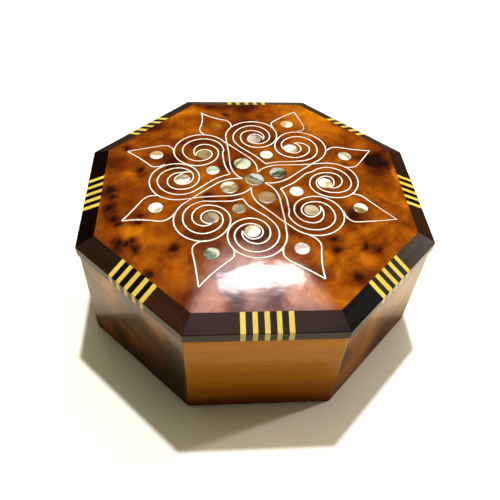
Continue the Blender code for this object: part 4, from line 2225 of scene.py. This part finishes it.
@dataclass(frozen=True)
class Shade:
    """An oval in front of the glows, in its own colour: its direction and its reach across and ahead."""

    direction: Point
    reach: Place
    colour: Colour


@dataclass(frozen=True)
class Lamp:
    """A flat lamp that faces the box: its place, width, height, power in watts and colour.

    A lamp that isn't mirrored lights the box without a reflection of its own. The roll is in degrees.
    """

    name: str
    place: Point
    width: float
    height: float
    power: float
    colour: Colour
    mirrored: bool = True
    roll: float = 0.0


@dataclass
class Studio:
    """A pale floor, lamps overhead, to the side and behind, and a dim room round them."""

    floor_half_width: float = 3.0
    floor_cells: int = 12
    room_colour: Colour = (0.013, 0.007, 0.003)
    haze_density: float = 16.0
    haze_edges: Span = (0.35, 0.62)
    haze_tones: Span = (0.55, 1.10)
    shade_edges: Span = (0.10, 0.45)
    shade_height: float = 1000.0
    horizon: float = 0.1
    room_glows: tuple[Glow, ...] = (
        Glow((0.0, -0.225, 0.974), 24.0, (1.0, 0.82, 0.74), 1.9),
        Glow((0.056, 0.508, 0.860), 9.6, (0.94, 0.90, 1.0), 6.8),
        Glow((0.176, 0.510, 0.842), 4.2, (1.0, 0.95, 0.95), 3.4),
        Glow((0.050, 0.580, 0.813), 3.8, (1.0, 0.97, 0.92), 2.2),
        Glow((0.800, 0.320, 0.510), 11.0, (1.0, 0.95, 0.90), 4.5),
    )
    room_shades: tuple[Shade, ...] = (
        Shade((0.060, 0.428, 0.0), (0.260, 0.070), (1.90, 1.80, 2.00)),
        Shade((0.0420, 0.4850, 0.0), (0.036, 0.031), (1.40, 0.90, 1.20)),
        Shade((0.1170, 0.4850, 0.0), (0.032, 0.030), (1.20, 0.70, 1.00)),
    )
    lamps: tuple[Lamp, ...] = (
        Lamp("overhead_lamp", (0.060, 0.430, 1.460), 0.065, 0.065, 23.5, (1.0, 0.95, 0.91), False),
        Lamp("ceiling_glow", (0.040, 0.350, 1.500), 1.6, 1.6, 12.1, (1.0, 0.94, 0.55), False),
        Lamp("side_lamp", (1.580, 0.430, 1.100), 0.12, 0.12, 15.5, (1.0, 0.85, 0.72), False),
        Lamp("window", (0.143, 0.777, 1.322), 0.335, 0.112, 2.2, (1.0, 0.95, 0.94), True, 14.0),
    )
    target: Point = (0.0, 0.0, 0.05)
    camera_lens: float = 40.18
    camera_sensor: float = 36.0
    camera_nearest: float = 0.01
    camera_place: Point = (-0.02104, -0.18794, 0.22335)
    camera_turn: Point = (0.7427, -0.0457, -0.0596)

    def lay_floor(self) -> bpy.types.Object:
        """Lay the floor.

        Returns:
            The floor.
        """
        made = Draft()
        cells = self.floor_cells
        rows = []
        for row in range(cells + 1):
            y = self.floor_half_width * (2 * row / cells - 1)
            line = [(self.floor_half_width * (2 * cell / cells - 1), y, 0.0) for cell in range(cells + 1)]
            rows.append(made.row(line))
        for first, second in zip(rows, rows[1:]):
            made.bridge(first, second, closed=False)
        floor = made.piece("pale_floor", [FloorPaper("floor_paper")])
        return floor

    def light_room(self) -> None:
        """The dim room: an even tone, with soft glows that only polished surfaces pick up."""
        world = bpy.data.worlds.new("room")
        world.use_nodes = True
        bpy.context.scene.world = world
        sheet = NodeSheet(world.node_tree)
        background = world.node_tree.nodes["Background"]
        outwards = sheet.add("ShaderNodeTexCoord").outputs["Generated"]
        mirrored = sheet.add("ShaderNodeLightPath").outputs["Is Glossy Ray"]
        haze = sheet.range(sheet.noise(outwards, self.haze_density), *self.haze_edges, *self.haze_tones)
        above = sheet.range(sheet.part(outwards, "Z"), 0.0, self.horizon)
        lights: Value = BLACK
        for glow in self.room_glows:
            lit = tuple(channel * glow.strength for channel in glow.colour)
            mask = sheet.math("MULTIPLY", self.facing(sheet, outwards, glow), haze)
            lights = sheet.blend(mask, lights, lit, "ADD")
        for shade in self.room_shades:
            reach = (*shade.reach, self.shade_height)
            given = {"Vector": outwards, "Place": shade.direction, "Reach": reach}
            oval = sheet.range(sheet.place(SoftSpot(), given)["Mask"], *self.shade_edges)
            lights = sheet.blend(sheet.math("MULTIPLY", oval, above), lights, shade.colour)
        colour = sheet.blend(mirrored, self.room_colour, lights, "ADD")
        sheet.tree.links.new(colour, background.inputs["Color"])

    @staticmethod
    def facing(sheet: NodeSheet, outwards: Socket, glow: Glow) -> Socket:
        """Make a mask that rises from 0 at a glow's half-angle to 1 in its own direction.

        Args:
            sheet: The world's sheet.
            outwards: The direction that is looked in.
            glow: The glow.

        Returns:
            The mask.
        """
        given = {0: outwards, 1: tuple(Vector(glow.direction).normalized())}
        towards = sheet.add("ShaderNodeVectorMath", given, operation="DOT_PRODUCT").outputs["Value"]
        return sheet.range(towards, math.cos(math.radians(glow.half_angle)), 1.0, soft=True)

    def hang_lamps(self) -> None:
        """Hang each lamp so that it faces the box."""
        for lamp in self.lamps:
            light = bpy.data.lights.new(lamp.name, "AREA")
            light.shape = "ELLIPSE"
            light.size = lamp.width
            light.size_y = lamp.height
            light.energy = lamp.power
            light.color = lamp.colour
            holder = bpy.data.objects.new(lamp.name, light)
            holder.location = lamp.place
            away = Vector(lamp.place) - Vector(self.target)
            facing = away.to_track_quat("Z", "Y") @ Quaternion((0.0, 0.0, 1.0), math.radians(lamp.roll))
            holder.rotation_euler = facing.to_euler()
            holder.visible_glossy = lamp.mirrored
            bpy.context.scene.collection.objects.link(holder)

    def set_camera(self) -> None:
        """The camera, above and in front of the box."""
        data = bpy.data.cameras.new("camera")
        data.lens = self.camera_lens
        data.sensor_width = self.camera_sensor
        data.clip_start = self.camera_nearest
        camera = bpy.data.objects.new("camera", data)
        camera.location = self.camera_place
        camera.rotation_euler = self.camera_turn
        bpy.context.scene.collection.objects.link(camera)
        bpy.context.scene.camera = camera

    def build(self) -> None:
        """Make the floor, the lights and the camera."""
        self.set_camera()
        self.lay_floor()
        self.light_room()
        self.hang_lamps()
        bpy.context.scene.view_settings.view_transform = "Standard"


def main() -> None:
    """Build the studio and the box, and report each piece."""
    logging.basicConfig(level=logging.INFO, format="%(name)s: %(message)s")
    Studio().build()
    crown = Crown()
    rosette = Rosette()
    FloorBoard().dress()
    log.info("floor board dressed")
    groups = (
        ("walls", WallRing().build()),
        ("panel", [LidPanel(crown).build()]),
        ("rim", LidRim().build()),
        ("shell discs", PearlInlay(crown).build()),
        ("wires", WireInlay(crown, rosette).build()),
    )
    for label, pieces in groups:
        for piece in pieces:
            log.info("%s: %s, %d faces", label, piece.name, len(piece.data.polygons))


if __name__ == "__main__":
    main()
